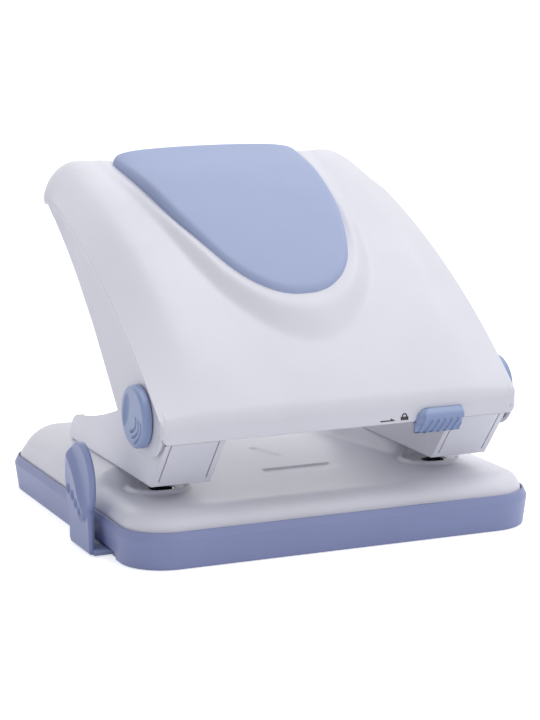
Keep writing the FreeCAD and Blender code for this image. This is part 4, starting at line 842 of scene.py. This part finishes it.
def printed(outline):
    """A sheet that makes a thin closed print from a closed outline of (x, z) and its middle."""
    outline = np.asarray(outline, float)
    centre = outline.mean(0)
    return on_lip([(centre + (outline - centre) * scale, out) for scale, out in
                   ((0.0, print_thick), (1.0, print_thick), (1.0, 0.0), (0.0, 0.0))]), True


line_low, line_high, body_top = mark_z - line_half, mark_z + line_half, mark_z + 0.75
arrow_line = [(10.2, line_low), (13.1, line_low), (13.1, line_high), (10.2, line_high)]
arrow_head = [(12.9, line_low), (14.5, line_low), (13.2, mark_z + 0.65)]
padlock_body = [(16.0, mark_z - 0.2), (18.2, mark_z - 0.2), (18.2, body_top), (16.0, body_top)]
arc = np.linspace(0, math.pi, 15)
shackle_in, shackle_out = [np.stack([padlock_x + wide * np.cos(arc), body_top + tall * np.sin(arc)], 1)
                           for wide, tall in ((0.46, 0.58), (0.80, 0.95))]
shackle = on_lip([(shackle_in, 0.0), (shackle_in, print_thick), (shackle_out, print_thick),
                  (shackle_out, 0.0)])
make("lock_marks", [printed(arrow_line), printed(arrow_head), printed(padlock_body), (shackle, False)], ink,
     "handle", (), axle)

# ---- paper guide ----
# A blade on a flat bar that slides out of the tray, moulded together in blue ABS. Its oval head is
# scooped on one side, so that a finger finds it.

guide_in, stem_out, head_out, blade_rim = -60.9, 1.7, 3.1, 1.9
head_middle, head_half = np.array([-26.1, 18.3]), np.array([9.5, 10.3])
heart = np.array([-26.1, 17.0])
stem_corners = [(-34.2, 0.2), (-17.6, 0.2), (-16.7, 1.1), (-17.2, 9.0), (-17.6, 18.0), (-33.2, 18.0),
                (-33.2, 11.0)]
# The ridge that the finger finds, from the rear rim down to the front of the stem, and the dents behind it.
ridge = smooth_line([(-17.0, 26.4), (-19.4, 24.6), (-21.9, 22.9), (-24.6, 20.8), (-26.9, 18.2), (-28.6, 15.3),
                     (-31.0, 12.7), (-33.6, 11.0), (-36.0, 9.9)], 200)
dents = [(-20.2, 15.3), (-23.6, 14.2), (-26.4, 12.6), (-29.2, 11.0)]
dent_depth, dent_half, dent_rim = 0.8, 1.45, 1.75
head_mean, ridge_rise, scoop_depth, rim_round = 9.9, 0.3, 0.25, 0.75


def guide_outline(angle):
    """Distance from the heart of the blade to its outline: the oval head or the stem, whichever is
    farther in that direction."""
    way = np.stack([np.cos(angle), np.sin(angle)], -1)
    offset = (heart - head_middle) / head_half
    scaled = way / head_half
    a, b, c = (scaled ** 2).sum(-1), (scaled * offset).sum(-1), (offset ** 2).sum() - 1
    oval = (-b + np.sqrt(b ** 2 - a * c)) / a
    stem = np.full(angle.shape, 99.0)
    for (y0, z0), (y1, z1) in zip(stem_corners, stem_corners[1:] + stem_corners[:1]):
        normal = np.array([z1 - z0, y0 - y1]) / math.hypot(y1 - y0, z1 - z0)
        level = normal @ (np.array([y0, z0]) - heart)
        facing = way @ normal
        stem = np.where(facing > 1e-6, np.minimum(stem, level / np.maximum(facing, 1e-6)), stem)
    return np.maximum(oval, stem)


def guide_face(y, z, edge):
    """How far the blade's face stands out at (y, z), at a given distance from its outline: the stem's
    level, the raised head in front of the ridge, four dents behind it and a rounded rim."""
    nearest = np.hypot(y[..., None] - ridge[:, 0], z[..., None] - ridge[:, 1]).argmin(-1)
    spot = ridge[nearest]
    run = np.gradient(ridge, axis=0)[nearest]
    run = run / np.linalg.norm(run, axis=-1, keepdims=True)
    in_front = run[..., 0] * (z - spot[..., 1]) - run[..., 1] * (y - spot[..., 0])
    behind = ramp(-in_front, 0.0, 3.0)
    from_middle = np.hypot((y - head_middle[0]) / head_half[0], (z - head_middle[1]) / head_half[1])
    inside = (1 - from_middle) * head_mean
    raised = (1 - behind) * ramp(inside, -0.3, 0.5)
    crest = ridge_rise * np.exp(-(in_front / 0.8) ** 2) * ramp(inside, 0.0, 2.5)
    out = stem_out + (head_out - stem_out - ridge_rise) * raised + crest
    out = out - scoop_depth * (1 - behind) * ramp(in_front, 0.5, 5.0)
    for dent_y, dent_z in dents:
        gap = np.hypot(y - dent_y, (z - dent_z) * 1.15)
        rim_rise = 0.4 * np.exp(-((gap - dent_rim) / 0.4) ** 2) * (1 - raised)
        out = out - dent_depth * np.exp(-(gap / dent_half) ** 6) + rim_rise
    return out - round_over(edge, rim_round + rim_round * raised)


# The blade is rings from its outline in to the heart, on the face and, more widely spaced, on the flat back.
around = np.linspace(0, 2 * math.pi, 420, endpoint=False)
far = guide_outline(around)
rim_steps = np.array([0, 0.03, 0.09, 0.18, 0.3, 0.45, 0.62, 0.8, 1.0, 1.25, 1.55, blade_rim])
to_heart = (far[None] - blade_rim) * np.linspace(1, 0, 62)[1:, None]
radii = np.concatenate([far[None] - rim_steps[:, None], to_heart])
blade_y = heart[0] + radii * np.cos(around)
blade_z = heart[1] + radii * np.sin(around)
blade_out = guide_face(blade_y, blade_z, far[None] - radii)
blade_face = np.stack([guide_in - blade_out, blade_y, blade_z], -1)
blade_back = blade_face[::6] * np.array([0, 1, 1]) + np.array([guide_in, 0, 0])
# The bar is its section, as (y, z), drawn through the tray from the blade and closed at both ends.
bar_middle = np.array([-26.1, 0.9])
bar_section = np.array([(-34.3, 0.2), (-17.9, 0.2), (-17.5, 0.6), (-17.1, 1.45), (-17.25, 1.6), (-34.95, 1.6),
                        (-35.1, 1.45), (-34.7, 0.6)])
bar_stations = ((-61.3, 0.0), (-61.3, 1.0), (-30.0, 1.0), (0.0, 1.0), (30.0, 1.0), (51.8, 1.0), (52.1, 0.97),
                (52.1, 0.0))
bar_rings = [np.column_stack([np.full(len(bar_section), x), bar_middle + (bar_section - bar_middle) * scale])
             for x, scale in bar_stations]
# The tray's blue ABS in a second moulding, a trace lighter, with the same even satin.
guide_abs = moulded("moulded_blue_abs_guide", "#8C97C0", 0.44, 0.5, 0.008)
make("guide_blade", [(np.concatenate([blade_face[::-1], blade_back]), True), (np.array(bar_rings), True)],
     guide_abs, "guide", ("paper_guide",))
